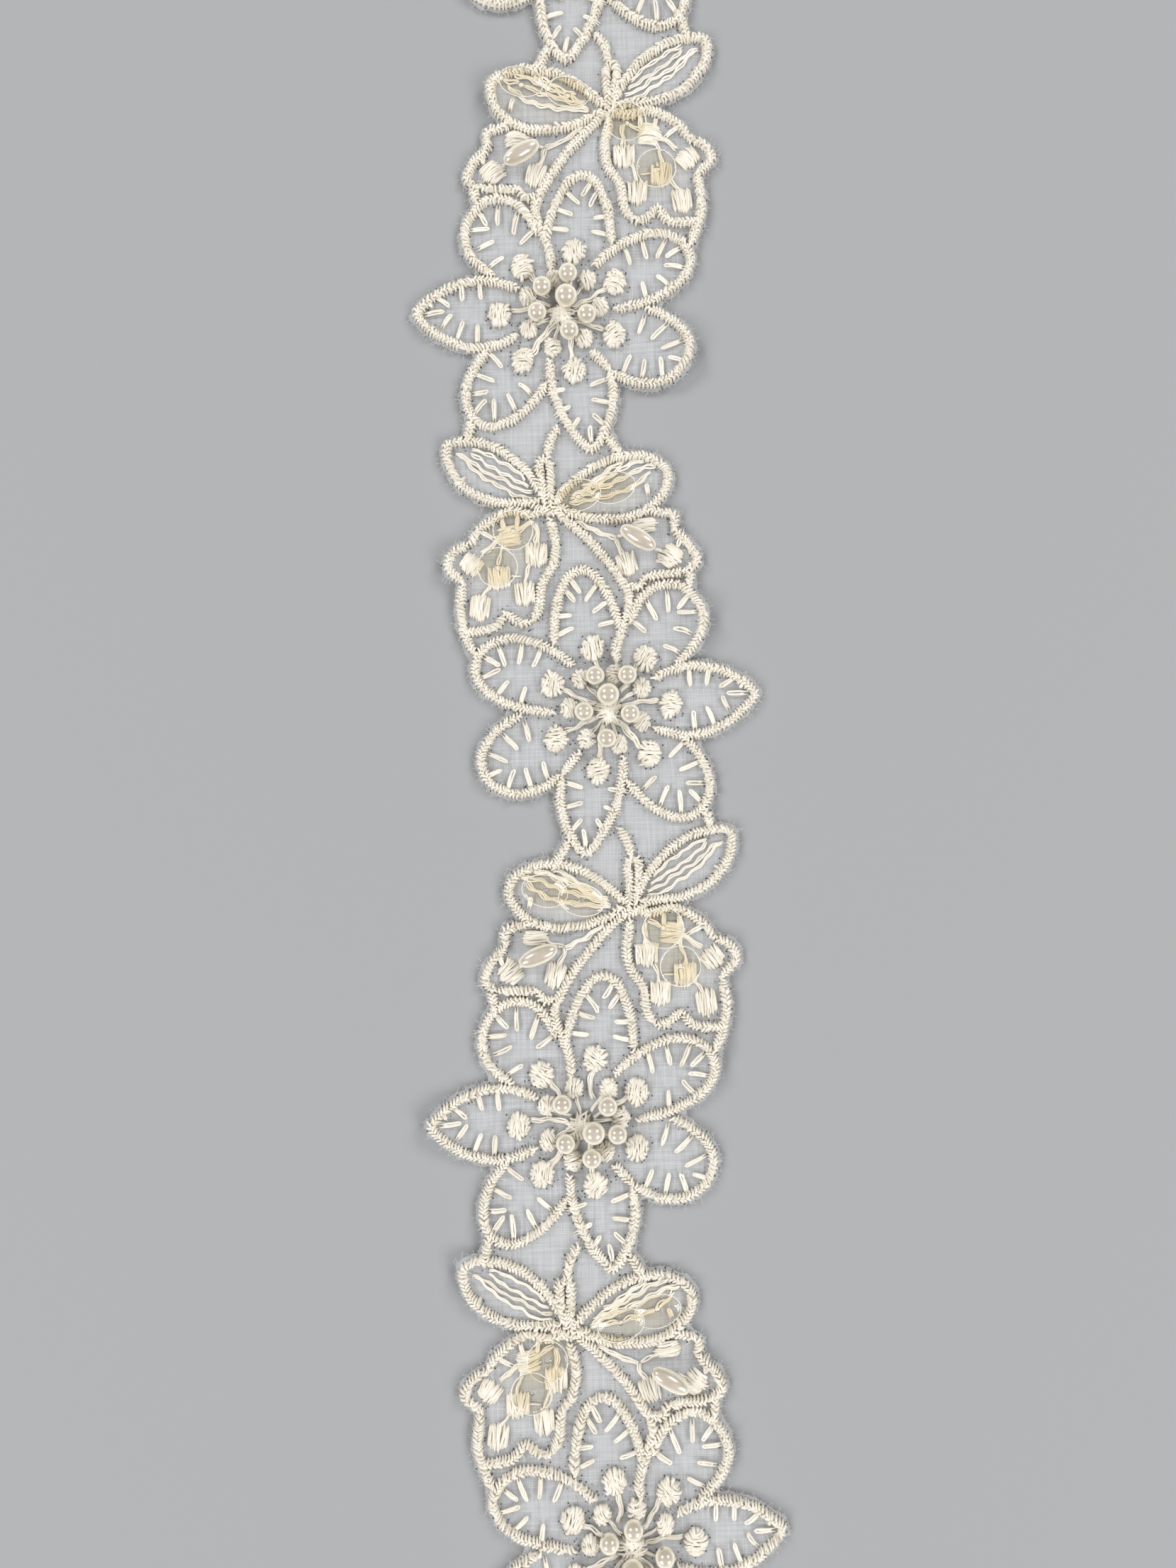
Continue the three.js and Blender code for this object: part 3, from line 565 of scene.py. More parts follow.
# Clear plastic with a faint yellow tint. Light that falls through it to the threads below isn't held
# back: shadow and diffuse rays pass straight on, tinted.
def makeClearMaterial(name, tint, mottle):
    material, tree, shader = newMaterial(name)
    clouds = cloudsOver(tree, mottle, 400.0, 0.02, 0.09)
    feedAll(tree, shader, {"Base Color": tint, "Roughness": clouds, "Transmission Weight": 1.0, "IOR": 1.5})
    ray = newNode(tree, "ShaderNodeLightPath").outputs
    straight = maths(tree, "MAXIMUM", ray["Is Shadow Ray"], ray["Is Diffuse Ray"])
    passing = newNode(tree, "ShaderNodeBsdfTransparent", in0=tint).outputs[0]
    either = newNode(tree, "ShaderNodeMixShader", in0=straight, in1=shader.outputs[0], in2=passing)
    feed(tree, tree.nodes["Material Output"].inputs["Surface"], either.outputs[0])
    return material


# The sequins' cut edge: the same plastic, but it scatters the light
def makeEdgeMaterial(mottle):
    look = {"pale": (0.97, 0.95, 0.89, 1), "deep": (0.86, 0.82, 0.72, 1), "clouds": 500.0, "rough": 0.25}
    material, tree, shader = newMaterial("brightEdge")
    shade = blended(tree, cloudsOver(tree, mottle, look["clouds"]), look["deep"], look["pale"])
    feedAll(tree, shader, {"Base Color": shade, "Roughness": look["rough"]})
    return material


mottle = makeMottle()
rayon = makeThreadMaterial(mottle)
organza = makeOrganzaMaterial(mottle, makeWeave())
pearlCoat = makePearlMaterial(mottle)
clearPlastic = makeClearMaterial("clearPlastic", (0.975, 0.95, 0.885, 1), mottle)
brightEdge = makeEdgeMaterial(mottle)
nylon = makeClearMaterial("clearNylon", (0.98, 0.97, 0.94, 1), mottle)
print("materials ready")


# Every cord's route on the band, each with the flower it belongs to; one that runs into another
# ends where the distance between them is shorter than the stop
def cordRoutes():
    work = {"stop": 0.55, "step": 0.3}
    laid = []
    taken = np.full((1, 2), 1e6)
    for unit in range(len(band["sides"])):
        lines = [petalRoute(petal) for petal in petals.values()]
        lines += [splineRoute(places) for places in cords.values()]
        if unit + 1 < len(band["sides"]):
            lines += [splineRoute(places) for places in ties.values()]
        for line in lines:
            points, way, s = evenly(toBand(unit, line), work["step"])
            near = np.linalg.norm(points[:, None] - taken[None], axis=2).min(1)
            free = np.flatnonzero(near > work["stop"])
            if len(free) > 3:
                points = points[free[0]:free[-1] + 1]
                laid.append((unit, points))
                taken = np.vstack([taken, points])
    return laid


# Satin cord over a padding cord. Each thread crosses the whole cord, a little askew; along the
# braided lengths two rows of shorter threads come in square from both sides, bend forwards and
# overlap in the middle. The route wanders and its width swells by slow random curves.
def satinCords(routes):
    work = {
        "pitch": 0.6,           # from one thread to the next
        "half": 0.69,           # half the cord's width
        "end": (0.6, 1.6),      # share of the width at an end, and how far in it still narrows
        "rise": 1.02,
        "width": 0.215,         # half a thread's width and half its height
        "height": 0.28,
        "core": (0.6, 0.3),     # the same of the padding cord, and its height over the cloth
        "coreLow": 0.3,
        "wander": 0.1,
        "swell": 0.13,
        "askew": 0.3,
        "plainUnder": -0.35,    # braided where a slow curve is above this
        "overlap": 0.14,
        "forward": (0.3, 0.2),
        "hook": 0.7,
        "uneven": {"place": 0.08, "half": 0.05, "slant": 0.2, "rise": 0.15, "bend": 0.07, "hook": 0.05},
    }
    uneven = work["uneven"]
    for unit in range(len(band["sides"])):
        a, b, rise, bent, parts = [], [], [], [], []
        for owner, route in routes:
            if owner != unit:
                continue
            points, way, s = evenly(route, work["pitch"])
            count = len(s)
            across = leftOf(way)
            points = points + across * (work["wander"] * drift(s, 9))[:, None]
            middle = points + way * chance.normal(0, uneven["place"], (count, 1))
            narrow = np.clip(work["end"][0] + np.minimum(s, s[-1] - s) / work["end"][1], 0, 1)
            swollen = 1 + work["swell"] * drift(s, 7) + chance.normal(0, uneven["half"], count)
            half = (work["half"] * narrow * swollen)[:, None]
            slant = work["askew"] * np.sign(chance.uniform(-0.4, 1))
            slant = slant + chance.normal(0, uneven["slant"], (count, 1))
            high = work["rise"] * (1 + 0.08 * drift(s, 6) + chance.normal(0, uneven["rise"], count))
            split = drift(s, 24) > work["plainUnder"]
            side = (across * half + way * slant)[~split]
            a.append(middle[~split] - side)
            b.append(middle[~split] + side)
            rise.append(high[~split])
            bent.append((way * chance.normal(0, uneven["bend"], (count, 1)))[~split])
            forward = way * (work["forward"][0] + work["forward"][1] * np.abs(slant))
            for hand in (-1, 1):
                step = way * work["pitch"] * 0.25 * hand
                overlap = work["overlap"] * chance.uniform(0.2, 1.8, (count, 1))
                a.append((middle + hand * across * half - forward + step)[split])
                b.append((middle - hand * across * overlap + forward + step)[split])
                hooked = way * chance.normal(0, uneven["hook"], (count, 1)) - work["hook"] * forward
                bent.append(hooked[split])
                rise.append(high[split] * chance.uniform(0.85, 1.12, split.sum()))
            core = longThread(points, work["coreLow"], *work["core"], 1.0, 8)
            core["tone"][:] = 0.9
            parts.append(core)
        a, b, rise, bent = np.vstack(a), np.vstack(b), np.concatenate(rise), np.vstack(bent)
        parts.append(laidThreads(a, b, 0.0, rise, work["width"], work["height"], 7, 2.4, 1.0, 4, bent))
        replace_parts(makePiece(f"satinCords{unit + 1}", parts, rayon), "band")


# Low dome under a ring of threads
def padding(unit, spot, half, rise):
    radii = np.array([0.05, 0.6, 0.86, 0.05])
    dome = turned(radii, np.array([0.82, 0.72, -0.1, -0.3]) * rise, 14, half[0], half[1])
    centre = toBand(unit, spot)
    dome["verts"] += [centre[0], centre[1], clothHeight(centre)]
    return dome


# Ring of threads that run outwards round a middle: at each share of its length a thread stands at a
# share of the rise, and is as wide as its part of the circle there
def radialThreads(unit, spot, half, threads, work):
    share = np.array([0.2, 0.45, 0.72, 0.9, 1.0])
    risen = np.array([0.93, 1.0, 0.9, 0.7, 0.35])
    turn = np.arange(threads) + chance.uniform(-0.35, 0.35, threads)
    angle = 2 * np.pi * turn / threads + chance.uniform(0, 6)
    reach = 1 + chance.normal(0, work["ragged"], (threads, 1))
    out = np.stack([half[0] * np.cos(angle), half[1] * np.sin(angle)], 1) * reach
    xy = toBand(unit, np.array(spot) + out[:, None] * share[None, :, None])
    height = work["rise"] * risen * chance.uniform(0.8, 1.12, (threads, 1))
    wide = (half[0] + half[1]) / 2 * share * np.pi / threads * 0.96 + 0.04
    return tubes(overCloth(xy, height), wide, work["height"], 5, 0.95)


# Short threads side by side over a dome, all laid the one way: each is as long as a circle is wide
# there, and those in the middle rise highest
def tuft(unit, spot, half, threads, work):
    slope = chance.uniform(0, np.pi)
    along = np.array([math.cos(slope), math.sin(slope)])
    across = leftOf(along)
    x = np.linspace(-0.78, 0.78, threads) + chance.normal(0, 0.04, threads)
    circle = np.sqrt(1 - x * x)
    reach = circle[:, None] * 0.84 + chance.normal(0, 0.07, (threads, 2))
    askew = along * chance.normal(0, 0.1, (threads, 1)) + across * chance.normal(0, 0.12, (threads, 1))
    start = spot + (across * x[:, None] - along * reach[:, :1] - askew) * half
    stop = spot + (across * x[:, None] + along * reach[:, 1:] + askew) * half
    rise = work["rise"] * (0.5 + 0.66 * circle) * chance.uniform(0.88, 1.12, threads)
    bent = across * chance.normal(0, 0.08, (threads, 1))
    return laidThreads(toBand(unit, start), toBand(unit, stop), work["low"], rise, work["width"],
                       work["height"], 6, 2.4, 0.8, 5, bent)


# Stamen dots: a ring of threads that run down the dome's sides, and a tuft over it
def stamenDots():
    work = {"outer": (1.82, 2.15), "inner": (1.38, 1.62), "outerThreads": 19, "innerThreads": 15,
            "tuftShare": 0.62, "rise": 1.15, "low": 0.22, "width": 0.175, "height": 0.24, "ragged": 0.075}
    parts = []
    for unit in range(len(band["sides"])):
        for spots, half, threads in ((outerDots, work["outer"], work["outerThreads"]),
                                     (innerDots, work["inner"], work["innerThreads"])):
            for spot in spots:
                parts.append(radialThreads(unit, spot, half, threads, work))
                parts.append(padding(unit, spot, half, work["rise"]))
                parts.append(tuft(unit, spot, np.array(half), int(threads * work["tuftShare"]), work))
    makePiece("stamenDots", parts, rayon)


# Satin blocks: two layers of threads side by side over a few broad ones. The middle threads reach
# furthest out, by the point at each end, so that a block looks like a small tulip. The ends are
# ragged, the threads bend aside, and those of the upper layer are more askew and gather towards one
# end.
def satinBlocks():
    work = {"spacing": 0.33, "width": 0.175, "height": 0.21, "rise": 0.8, "layer": 0.24, "ragged": 0.17,
            "grown": (1.08, 0.84), "gather": 0.34, "point": (0.4, 0.8), "askew": 0.12, "bow": 0.1,
            "under": 5, "low": -0.05}
    parts = []
    for unit in range(len(band["sides"])):
        for block in blocks:
            wide, long = np.array(block["size"]) * work["grown"]
            count = int(wide / work["spacing"])
            turn = math.radians(block["turn"])
            across = np.array([math.cos(turn), math.sin(turn)])
            along = leftOf(across)
            flat = np.linspace(-0.42, 0.42, work["under"])[:, None] * wide * across + block["at"]
            end = along * long / 2
            parts.append(laidThreads(toBand(unit, flat - end), toBand(unit, flat + end), work["low"],
                                     work["rise"] / 2, 0.5 * wide / work["under"], work["height"]))
            x = (((np.arange(count) + 0.5) / count - 0.5) * wide)[:, None]
            inwards = 1 - np.abs(x) / (wide / 2)
            for layer in (0, 1):
                low, high = (point * inwards * chance.uniform(0.6, 1.2) for point in work["point"])
                half = long / 2 + chance.normal(0, work["ragged"], (count, 2))
                askew = chance.normal(0, work["askew"] * (1 + layer), (count, 1))
                narrow = 1 - work["gather"] * (layer + chance.uniform(0, 0.5))
                stop = across * (x + askew) + along * (low + half[:, :1]) + block["at"]
                start = across * (x * narrow - askew) - along * (high + half[:, 1:]) + block["at"]
                rise = work["rise"] * chance.uniform(0.6, 1.2, count) + work["layer"] * layer
                rise = rise * (0.7 + 0.3 * np.sqrt(inwards[:, 0]))
                bent = across * chance.normal(0, work["bow"], (count, 1))
                parts.append(laidThreads(toBand(unit, start), toBand(unit, stop), work["low"], rise,
                                         work["width"], work["height"], 6, 3, bent=bent))
    makePiece("satinBlocks", parts, rayon)


# Eyelash bars: one thread runs out from the cord, turns round in half a circle and comes back beside
# itself, and a bar of two threads or more has one between them. The three lists are the thread's
# shares of the length, of half the width and of the rise from its start to its end.
def eyelashBars():
    work = {"half": 0.25, "width": 0.165, "height": 0.19, "low": 0.05, "between": 0.15, "rise": 0.55,
            "stray": 0.09, "longer": 0.2, "lean": 0.08, "wobble": 0.03, "bend": 0.09,
            "wider": {1: 0.55, 2: 1.0, 3: 1.15}}
    out = np.array([-0.25, 0.3, 0.6, 0.85, 0.95, 1.0, 0.95, 0.85, 0.6, 0.3, -0.25])[None, :, None]
    aside = np.array([0.8, 0.95, 1.0, 0.9, 0.6, 0.0, -0.6, -0.9, -1.0, -0.95, -0.8])[None, :, None]
    lifted = np.array([0.3, 0.95, 1.0, 0.95, 0.85, 0.75, 0.85, 0.95, 1.0, 0.95, 0.3])
    parts = []
    for unit in range(len(band["sides"])):
        for threads, wider in work["wider"].items():
            rows = [(a, b) for a, b, count in eyelashes if count == threads]
            count = len(rows)
            a, b = np.array(rows, float).transpose(1, 0, 2) + chance.normal(0, work["stray"], (2, count, 2))
            length = np.linalg.norm(b - a, axis=1, keepdims=True)
            way = (b - a) / length
            across = leftOf(way)[:, None]
            rise = work["rise"] * chance.uniform(0.85, 1.2, (count, 1))
            length = (length + work["longer"])[..., None]
            lean = chance.normal(0, work["lean"], (count, 1, 1)) * out ** 2
            wobble = chance.normal(0, work["wobble"], (count, out.size, 1))
            side = work["half"] * wider * aside + wobble + lean * length
            xy = toBand(unit, a[:, None] + way[:, None] * length * out + across * side)
            parts.append(tubes(overCloth(xy, work["low"] + rise * lifted), work["width"], work["height"]))
            if threads > 1:
                bent = across[:, 0] * chance.normal(0, work["bend"], (count, 1))
                parts.append(laidThreads(toBand(unit, a), toBand(unit, b), work["between"], rise[:, 0],
                                         work["width"], work["height"], bent=bent))
    makePiece("eyelashBars", parts, rayon)


# Stalks and veins: bundles of threads along a smooth route, each thread waving from side to side
# on its own and crossing its neighbours
def looseBundles():
    work = {"apart": 0.25, "width": 0.17, "height": 0.17, "wave": 2.8, "stray": 0.08, "low": 0.3,
            "over": 0.14, "step": 0.45}
    parts = []
    for unit in range(len(band["sides"])):
        for threads, waving, places in bundles:
            start = chance.uniform(0, 6)
            for k in range(threads):
                points, way, s = evenly(splineRoute(places), work["step"])
                off = (k - (threads - 1) / 2) * work["apart"] * (1 + 0.5 * drift(s, 6))
                phase = 2 * np.pi * s / work["wave"] + start + chance.uniform(-0.5, 0.5)
                off = off + waving * (np.sin(phase) + 0.8 * drift(s, 5)) + work["stray"] * drift(s, 4)
                line = toBand(unit, points + leftOf(way) * off[:, None])
                parts.append(longThread(line, work["low"] + work["over"] * (k % 2), work["width"],
                                        work["height"], 0.5))
    makePiece("stalksAndVeins", parts, rayon)


# Middle of each flower: short threads that radiate from near the centre in two layers
def flowerMiddles():
    work = {"reach": 2.3, "threads": 38, "spread": 0.6, "width": 0.18, "height": 0.17, "low": 0.1,
            "layer": 0.25, "rise": 0.55}
    parts = []
    for unit in range(len(band["sides"])):
        for layer in (0, 1):
            angle = chance.uniform(0, 2 * np.pi, work["threads"])
            out = np.stack([np.cos(angle), np.sin(angle)], 1)
            far = work["reach"] * chance.uniform(0.6, 1.15, (work["threads"], 1))
            start = chance.normal(0, work["spread"], out.shape)
            parts.append(laidThreads(toBand(unit, start), toBand(unit, out * far),
                                     work["low"] + work["layer"] * layer, work["rise"], work["width"],
                                     work["height"]))
        parts.append(padding(unit, (0, 0), (1.1, 1.1), 0.8))
    makePiece("flowerMiddles", parts, rayon)


# Fine hairs from their starts outwards: along the way as t, and aside by bend as t squared, with
# their heights over the cloth at four places
def hairs(start, way, bend, heights, thick):
    t = np.array([0, 0.4, 0.75, 1.0])[None, :, None]
    xy = start[:, None] + way[:, None] * t + bend[:, None] * t * t
    return tubes(overCloth(xy, heights), thick, thick, 3, 0.5)


# Stray filaments: hairs that leave the cords' sides at random and bend away
def strayFilaments(routes):
    work = {"every": 1.1, "thick": 0.032, "shortest": 0.2, "longest": 1.1, "beside": 0.52, "askew": 0.9,
            "curl": 0.35, "low": 0.3, "rise": 0.5}
    a, out = [], []
    for unit, route in routes:
        points, way, s = evenly(route, work["every"])
        across = leftOf(way) * np.sign(chance.uniform(-1, 1, (len(s), 1)))
        a.append(points + across * work["beside"])
        out.append(across + way * chance.normal(0, work["askew"], (len(s), 1)))
    a, out = np.vstack(a), np.vstack(out)
    out /= np.linalg.norm(out, axis=1, keepdims=True)
    length = chance.uniform(0.3, 1, (len(a), 1)) ** 2 * work["longest"] + work["shortest"]
    bend = leftOf(out) * chance.normal(0, work["curl"], (len(a), 1))
    heights = work["low"] + chance.uniform(0, work["rise"], (len(a), 1)) * np.array([1, 1.2, 0.9, 0.4])
    part = hairs(a, out * length, bend * length, heights, work["thick"])
    makePiece("strayFilaments", [part], rayon)


# Frayed edge: fine ends of the organza's own threads that stand out all along where it is cut
def frayedEdge(rim, outwards):
    work = {"thick": 0.026, "shortest": 0.2, "longest": 0.75, "inside": 0.25, "askew": 0.55, "curl": 0.35,
            "rise": 0.12}
    way = outwards + chance.normal(0, work["askew"], rim.shape)
    way /= np.linalg.norm(way, axis=1, keepdims=True)
    length = work["shortest"] + work["longest"] * chance.uniform(0, 1, (len(rim), 1)) ** 2
    bend = leftOf(way) * chance.normal(0, work["curl"], (len(rim), 1))
    heights = chance.normal(0, work["rise"], (len(rim), 1)) * np.array([0, 0.4, 0.8, 1])
    start = rim - way * work["inside"]
    part = hairs(start, way * (length + work["inside"]), bend * length, heights, work["thick"])
    makePiece("frayedEdge", [part], rayon)


# Distance from points to a closed outline, negative inside: the least distance to any side, and a
# point is inside where a line to the right of it crosses the outline an odd number of times
def outlineDistance(points, outline):
    a, b = outline, np.roll(outline, -1, axis=0)
    side = b - a
    far = points[:, None] - a[None]
    t = np.clip((far * side).sum(2) / np.maximum((side * side).sum(1), 1e-9), 0, 1)
    distance = np.linalg.norm(far - t[..., None] * side, axis=2).min(1)
    y = points[:, None, 1]
    spans = (a[:, 1] > y) != (b[:, 1] > y)
    rise = np.where(np.abs(side[:, 1]) < 1e-9, 1e-9, side[:, 1])
    crossing = a[:, 0] + (y - a[:, 1]) * side[:, 0] / rise
    inside = (spans & (points[:, None, 0] < crossing)).sum(1) % 2 == 1
    return np.where(inside, -distance, distance)


# The organza's outlines: petals, leaves and lobes grown past their cords, and the plain parts
def clothOutlines():
    margin = 1.22
    tulip = cords["tulipTop"] + cords["tulipLobe"][1:] + cords["tulipRight"][1:]
    bell = cords["bellTop"] + cords["bellLeft"][1:] + cords["bellHem"][1:]
    shapes = []
    for unit in range(len(band["sides"])):
        last = unit + 1 == len(band["sides"])
        rims = [petalRoute(petal, 60) for petal in petals.values()]
        rims += [splineRoute(tulip, 6), splineRoute(bell, 6)]
        shapes += [(toBand(unit, rim), margin) for rim in rims]
        plain = [ground, bottomEnd if last else neck] + ([topEnd] if unit == 0 else [])
        shapes += [(toBand(unit, places), 0.0) for places in plain]
        bridges = [cords["petalTie"]] + ([] if last else [ties["rightLeafTie"], ties["leftLeafTie"]])
        for bridge in bridges:
            line = splineRoute(bridge, 6)
            shapes.append((toBand(unit, np.vstack([line, line[::-1]])), margin))
    return shapes


# How far points lie outside the cut edge, with the cutting's own unevenness: the sum of three waves
def cutDistance(points, shapes):
    rough = 0.09
    best = np.full(len(points), 9.0)
    for outline, margin in shapes:
        low, high = outline.min(0) - 5, outline.max(0) + 5
        near = np.flatnonzero(((points > low) & (points < high)).all(1))
        if len(near):
            best[near] = np.minimum(best[near], outlineDistance(points[near], outline) - margin)
    x, y = points[:, 0], points[:, 1]
    uneven = np.sin(1.9 * x + 0.7 * y) + np.sin(0.8 * x - 2.3 * y + 1.0) + np.sin(3.4 * x + 2.9 * y)
    return best + rough * uneven


# How far points lie outside the stitching: the cords' and the dots' distance less their own reach
def besideStitches(points, routes):
    reach = {"cord": 0.66, "outerDot": 2.1, "innerDot": 1.55}
    stitched = [(evenly(route, 0.5)[0], reach["cord"]) for unit, route in routes]
    for unit in range(len(band["sides"])):
        stitched.append((toBand(unit, outerDots), reach["outerDot"]))
        stitched.append((toBand(unit, innerDots), reach["innerDot"]))
    beside = np.full(len(points), 9.0)
    for line, inside in stitched:
        near = np.flatnonzero(((points > line.min(0) - 4) & (points < line.max(0) + 4)).all(1))
        if len(near):
            gap = np.linalg.norm(points[near][:, None] - line[None], axis=2).min(1)
            beside[near] = np.minimum(beside[near], gap - inside)
    return beside


# Organza: a square grid cut to the outline. Cells whose middles lie inside stay, and the points on
# their rim slide down the slope of the distance until they lie on the cut edge. It gives back those
# points and their ways outwards.
def organzaSheet(routes):
    work = {"cell": 0.72, "thick": 0.12, "nudge": 0.05, "slides": 4, "farthest": 0.6}
    shapes = clothOutlines()
    low = np.min([outline.min(0) for outline, margin in shapes], 0) - 3
    high = np.max([outline.max(0) for outline, margin in shapes], 0) + 3
    columns, rows = np.ceil((high - low) / work["cell"]).astype(int)
    x, y = low[0] + np.arange(columns + 1) * work["cell"], low[1] + np.arange(rows + 1) * work["cell"]
    points = np.stack(np.meshgrid(x, y), -1).reshape(-1, 2)
    j, i = np.meshgrid(np.arange(rows), np.arange(columns), indexing="ij")
    corner = (j * (columns + 1) + i).ravel()
    quads = np.stack([corner, corner + 1, corner + columns + 2, corner + columns + 1], 1)
    kept = cutDistance(points[quads].mean(1), shapes) < 0
    rim = np.intersect1d(quads[kept], quads[~kept])
    steps = work["nudge"] * np.eye(2)
    for slide in range(work["slides"]):
        spots = points[rim]
        away = np.clip(cutDistance(spots, shapes), -work["farthest"], work["farthest"])
        slope = np.stack([cutDistance(spots + step, shapes) - cutDistance(spots - step, shapes)
                          for step in steps], 1)
        slope /= np.linalg.norm(slope, axis=1, keepdims=True) + 1e-6
        points[rim] = spots - slope * away[:, None] * 0.9
    rimPoints = points[rim]
    used, numbered = np.unique(quads[kept], return_inverse=True)
    quads = numbered.reshape(-1, 4)
    points = points[used]
    corners = points[quads]
    part = {"verts": overCloth(points, 0.0), "faces": [quads], "uvs": [corners],
            "tone": besideStitches(points, routes)}
    sheet = makePiece("organza", [part], organza, "besideStitches")
    body = sheet.modifiers.new("cloth thickness", "SOLIDIFY")
    body.thickness = work["thick"] * mm
    body.offset = 0
    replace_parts(sheet, "band")
    return rimPoints, slope


# A bead with a drilled hole: its radius is the sine of the angle from one end to the other to the
# power full, which is 1 for a ball and less for a fuller one, and the hole's wall closes it
def bead(centre, turn, half, radius, hole, along=16, full=1.0):
    start = math.asin(min(0.9, hole / radius) ** (1 / full))
    angle = np.linspace(start, math.pi - start, along)
    radii = np.concatenate([radius * np.sin(angle) ** full, [hole * 0.9]])
    heights = np.concatenate([-half * np.cos(angle), [0.0]])
    part = turned(radii[::-1], heights[::-1], 28)
    x, y, z = part["verts"].T
    part["verts"] = turnedFlat(np.stack([z, x, y], 1), turn) + centre
    return part


# Middle and size of a CAD node's box
def nodeCentre(name):
    low, high = (np.array(each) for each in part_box(name))
    return (low + high) / 2 / mm, (high - low) / mm


# Clear sewing thread out of both ends of a bead's hole and down into the cloth: outwards as t, down
# as t squared
def beadThread(centre, turn, half, out):
    way = np.array([math.cos(turn), math.sin(turn)])
    t = np.linspace(0, 1, 6)[None, :, None]
    ends = np.array([1.0, -1.0])[:, None, None]
    xy = centre[:2] + ends * way * (half * 0.6 + t * (out + half * 0.4))
    z = centre[2] + (clothHeight(xy) - centre[2]) * (t[..., 0] ** 2)
    return tubes(np.concatenate([xy, z[..., None]], -1), 0.09, 0.09, 6)


def sewnPearls():
    work = {"hole": 0.32, "thread": 0.7, "grown": {"small": 1.05, "large": 0.93}, "grainHalf": 3.35,
            "grainRadius": 1.48, "grainFull": 0.85, "grainTurns": [27, 29, 33, 22, 31]}
    rounds = [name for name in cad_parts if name.startswith("pearl_")]
    grains = [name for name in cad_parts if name.startswith("rice_pearl_")]
    beads, threads = [], []
    for name in sorted(rounds):
        centre, size = nodeCentre(name)
        turn = chance.uniform(0, math.pi)
        radius = work["grown"][name.split("_")[1]] * size[2] / 2
        beads.append(bead(centre, turn, radius, radius, work["hole"]))
        threads.append(beadThread(centre, turn, radius, work["thread"]))
    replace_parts(makePiece("roundPearls", beads, pearlCoat), *rounds)
    beads = []
    for name in sorted(grains):
        centre, size = nodeCentre(name)
        unit = int(name[-1]) - 1
        turn = band["sides"][unit] * math.radians(work["grainTurns"][unit])
        beads.append(bead(centre, turn, work["grainHalf"], work["grainRadius"], work["hole"], 22,
                          work["grainFull"]))
        threads.append(beadThread(centre, turn, work["grainHalf"], work["thread"]))
    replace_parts(makePiece("ricePearls", beads, pearlCoat), *grains)
    makePiece("beadThreads", threads, nylon)


# A sequin: a thin disc with a hole and a thicker rounded rim, cupped: its height grows with the
# radius squared
def sequin(centre, long, wide, turn, look):
    hole, rim = look["hole"], look["rim"] / long
    bend = np.linspace(0, np.pi, 7)[1:-1]
    radii = np.concatenate([[hole, hole + 0.05, 0.35, 0.6, 0.8, 1 - 2.2 * rim], 1 - rim + rim * np.sin(bend),
                            [1 - 2.2 * rim, 0.8, 0.6, 0.35, hole + 0.05, hole, hole - 0.03]])
    flat = look["thick"] / 2
    level = np.concatenate([[0.8, 1, 1, 1, 1, 1], look["rim"] / flat * np.cos(bend),
                            [-1, -1, -1, -1, -1, -0.8, 0]]) * flat
    part = turned(radii[::-1], (level + look["cup"] * radii ** 2)[::-1], 56, long, wide)
    part["verts"] = turnedFlat(part["verts"], turn) + centre
    return part


# The cut edge of a sequin, which scatters the light: a fine ring laid on its rim
def cutEdge(centre, long, wide, turn, look):
    angle = np.linspace(0, 2 * np.pi, 73)
    height = np.full(len(angle), look["cup"] + look["rim"] * 0.8)
    ring = np.stack([long * np.cos(angle), wide * np.sin(angle), height], 1)
    return tubes((turnedFlat(ring, turn) + centre)[None], look["edge"], look["edge"], 5, 1.0)


def sewnSequins():
    look = {"thick": 0.14, "rim": 0.13, "hole": 0.15, "edge": 0.06,
            "round": {"half": (3.3, 3.3), "turn": 0.0, "cup": 0.32},
            "oval": {"half": (3.8, 2.6), "turn": 0.244, "cup": 0.7}}
    edges = []
    for kind in ("round", "oval"):
        form = {**look, **look[kind]}
        names = sorted(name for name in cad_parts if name.startswith(f"sequin_{kind}_"))
        discs = []
        for name in names:
            unit = int(name.split("_")[2]) - 1
            place = (nodeCentre(name)[0], *form["half"], -band["sides"][unit] * form["turn"])
            discs.append(sequin(*place, form))
            edges.append(cutEdge(*place, form))
        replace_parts(makePiece(kind + "Sequins", discs, clearPlastic), *names)
    makePiece("sequinEdges", edges, brightEdge)


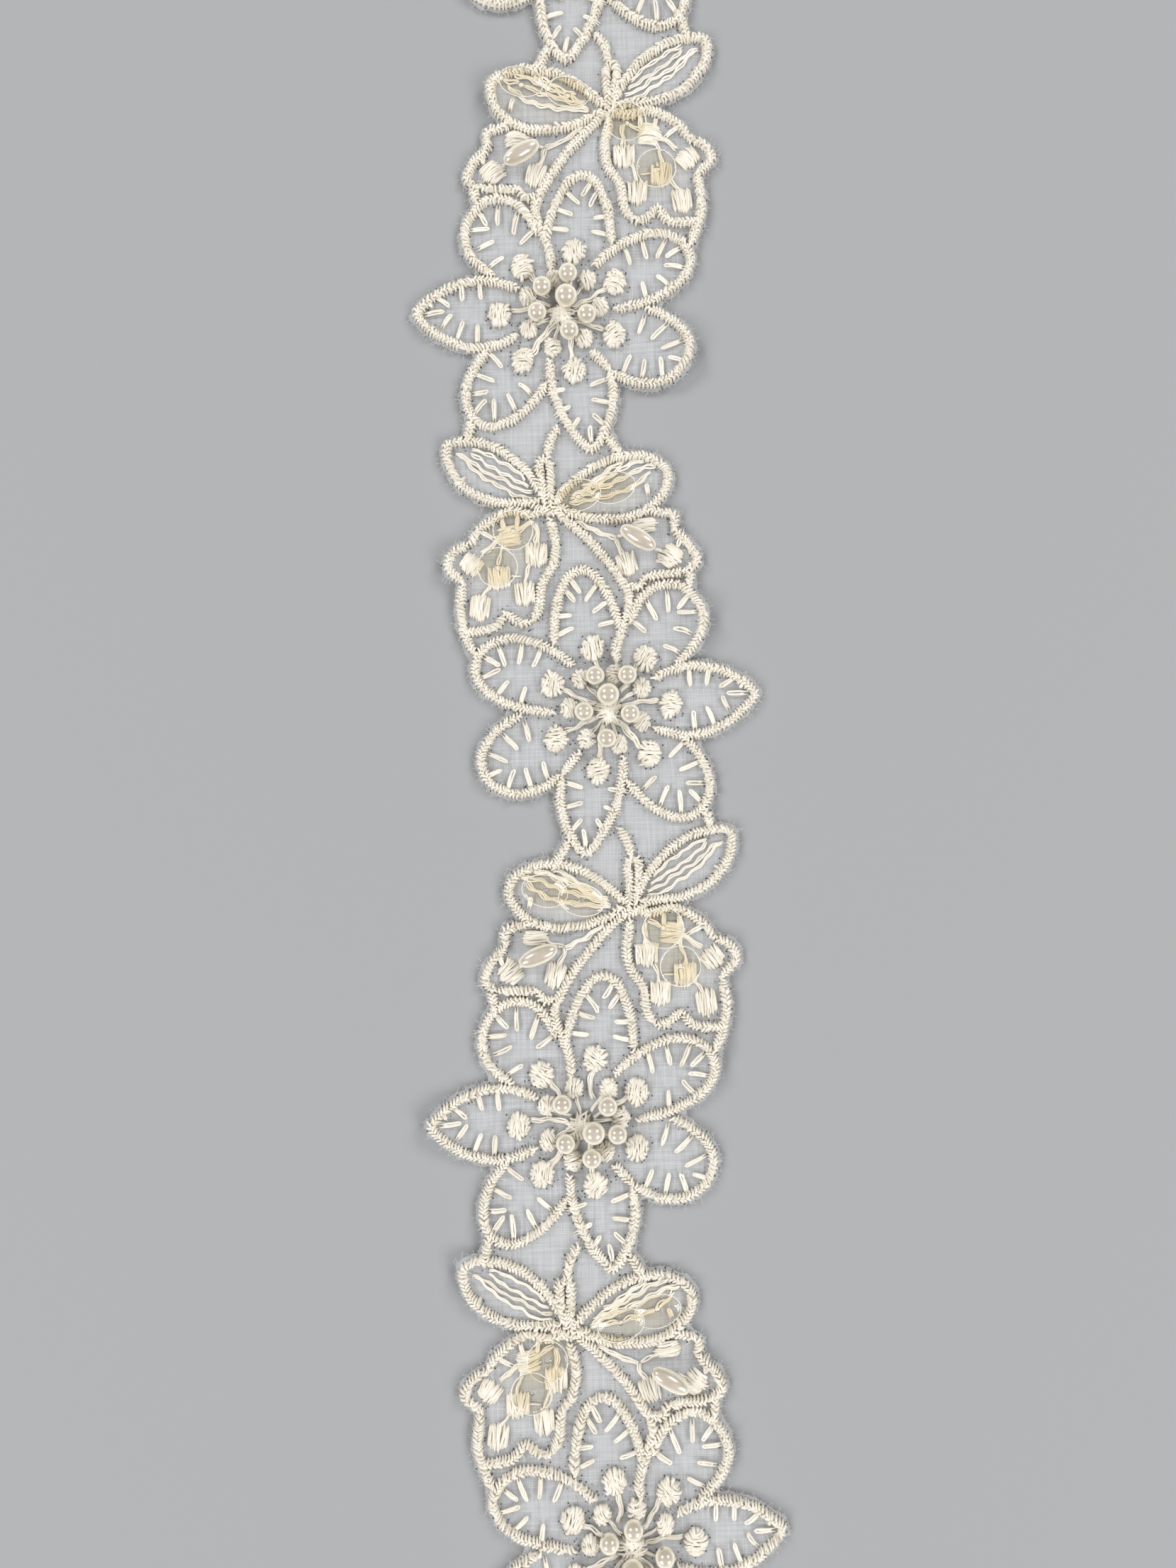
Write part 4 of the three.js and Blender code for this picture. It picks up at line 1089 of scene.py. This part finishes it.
# Floor, four small lamps in a square over the band, the nearer pair the stronger, and soft light from
# all round. Past the floor's edge the camera sees a backdrop of the floor's own lit tone.
def studio():
    look = {"floor": (0.345, 0.35, 0.36, 1), "floorSize": 1.7, "floorRough": 0.9, "floorDrop": 0.02,
            "backdrop": (0.455, 0.46, 0.47, 1), "soft": (1.0, 0.985, 0.96, 1), "around": 0.24,
            "lampOut": (0.78, 0.6), "lampHeight": 0.8, "near": (-1, 0.56, 7.7), "far": (1, 0.42, 6.1)}
    bpy.ops.mesh.primitive_plane_add(size=look["floorSize"], location=(0, 0, -look["floorDrop"] * mm))
    floor = bpy.context.object
    floor.name = "floor"
    material, tree, shader = newMaterial("palePaper")
    feedAll(tree, shader, {"Base Color": look["floor"], "Roughness": look["floorRough"]})
    floor.data.materials.append(material)
    for x in (-1, 1):
        for y, size, power in (look["near"], look["far"]):
            light = bpy.data.lights.new("lamp", "AREA")
            light.size = size
            light.energy = power
            lamp = bpy.data.objects.new("lamp", light)
            lamp.location = (x * look["lampOut"][0], y * look["lampOut"][1], look["lampHeight"])
            lamp.rotation_euler = lamp.location.to_track_quat("Z", "Y").to_euler()
            bpy.context.scene.collection.objects.link(lamp)
    world = bpy.data.worlds.new("studio")
    world.use_nodes = True
    tree = world.node_tree
    soft = tree.nodes["Background"]
    feedAll(tree, soft, {"Color": look["soft"], "Strength": look["around"]})
    seen = newNode(tree, "ShaderNodeBackground", in0=look["backdrop"], in1=1.0).outputs[0]
    ray = newNode(tree, "ShaderNodeLightPath").outputs["Is Camera Ray"]
    either = newNode(tree, "ShaderNodeMixShader", in0=ray, in1=soft.outputs[0], in2=seen)
    feed(tree, tree.nodes["World Output"].inputs[0], either.outputs[0])
    bpy.context.scene.world = world
    bpy.context.scene.view_settings.view_transform = "Standard"


# Camera almost straight above the band, a little nearer to its lower end and rolled a little
def photoCamera():
    shot = {"heightPixels": 2212, "focalPixels": 1598, "distance": 189.0, "tilt": 2.6,
            "aim": (-0.64, -11.89, 0.0), "roll": 0.0261, "sensor": 36.0}
    data = bpy.data.cameras.new("camera")
    data.sensor_fit = "VERTICAL"
    data.sensor_height = shot["sensor"]
    data.sensor_width = shot["sensor"]
    data.lens = shot["sensor"] * shot["focalPixels"] / shot["heightPixels"]
    data.clip_start = 0.01
    upright = Vector((shot["roll"], 1, 0)).normalized()
    tilt = math.radians(shot["tilt"])
    back = Vector((0, 0, 1)) * math.cos(tilt) - upright * math.sin(tilt)
    right = upright.cross(back).normalized()
    up = back.cross(right)
    turn = Matrix((right, up, back)).transposed().to_4x4()
    camera = bpy.data.objects.new("camera", data)
    aim = Vector(shot["aim"]) * mm
    camera.matrix_world = Matrix.Translation(aim + back * shot["distance"] * mm) @ turn
    bpy.context.scene.collection.objects.link(camera)
    bpy.context.scene.camera = camera


photoCamera()
studio()
print("camera and light ready")
routes = cordRoutes()
rim, outwards = organzaSheet(routes)
satinCords(routes)
stamenDots()
satinBlocks()
eyelashBars()
looseBundles()
flowerMiddles()
strayFilaments(routes)
frayedEdge(rim, outwards)
sewnPearls()
sewnSequins()
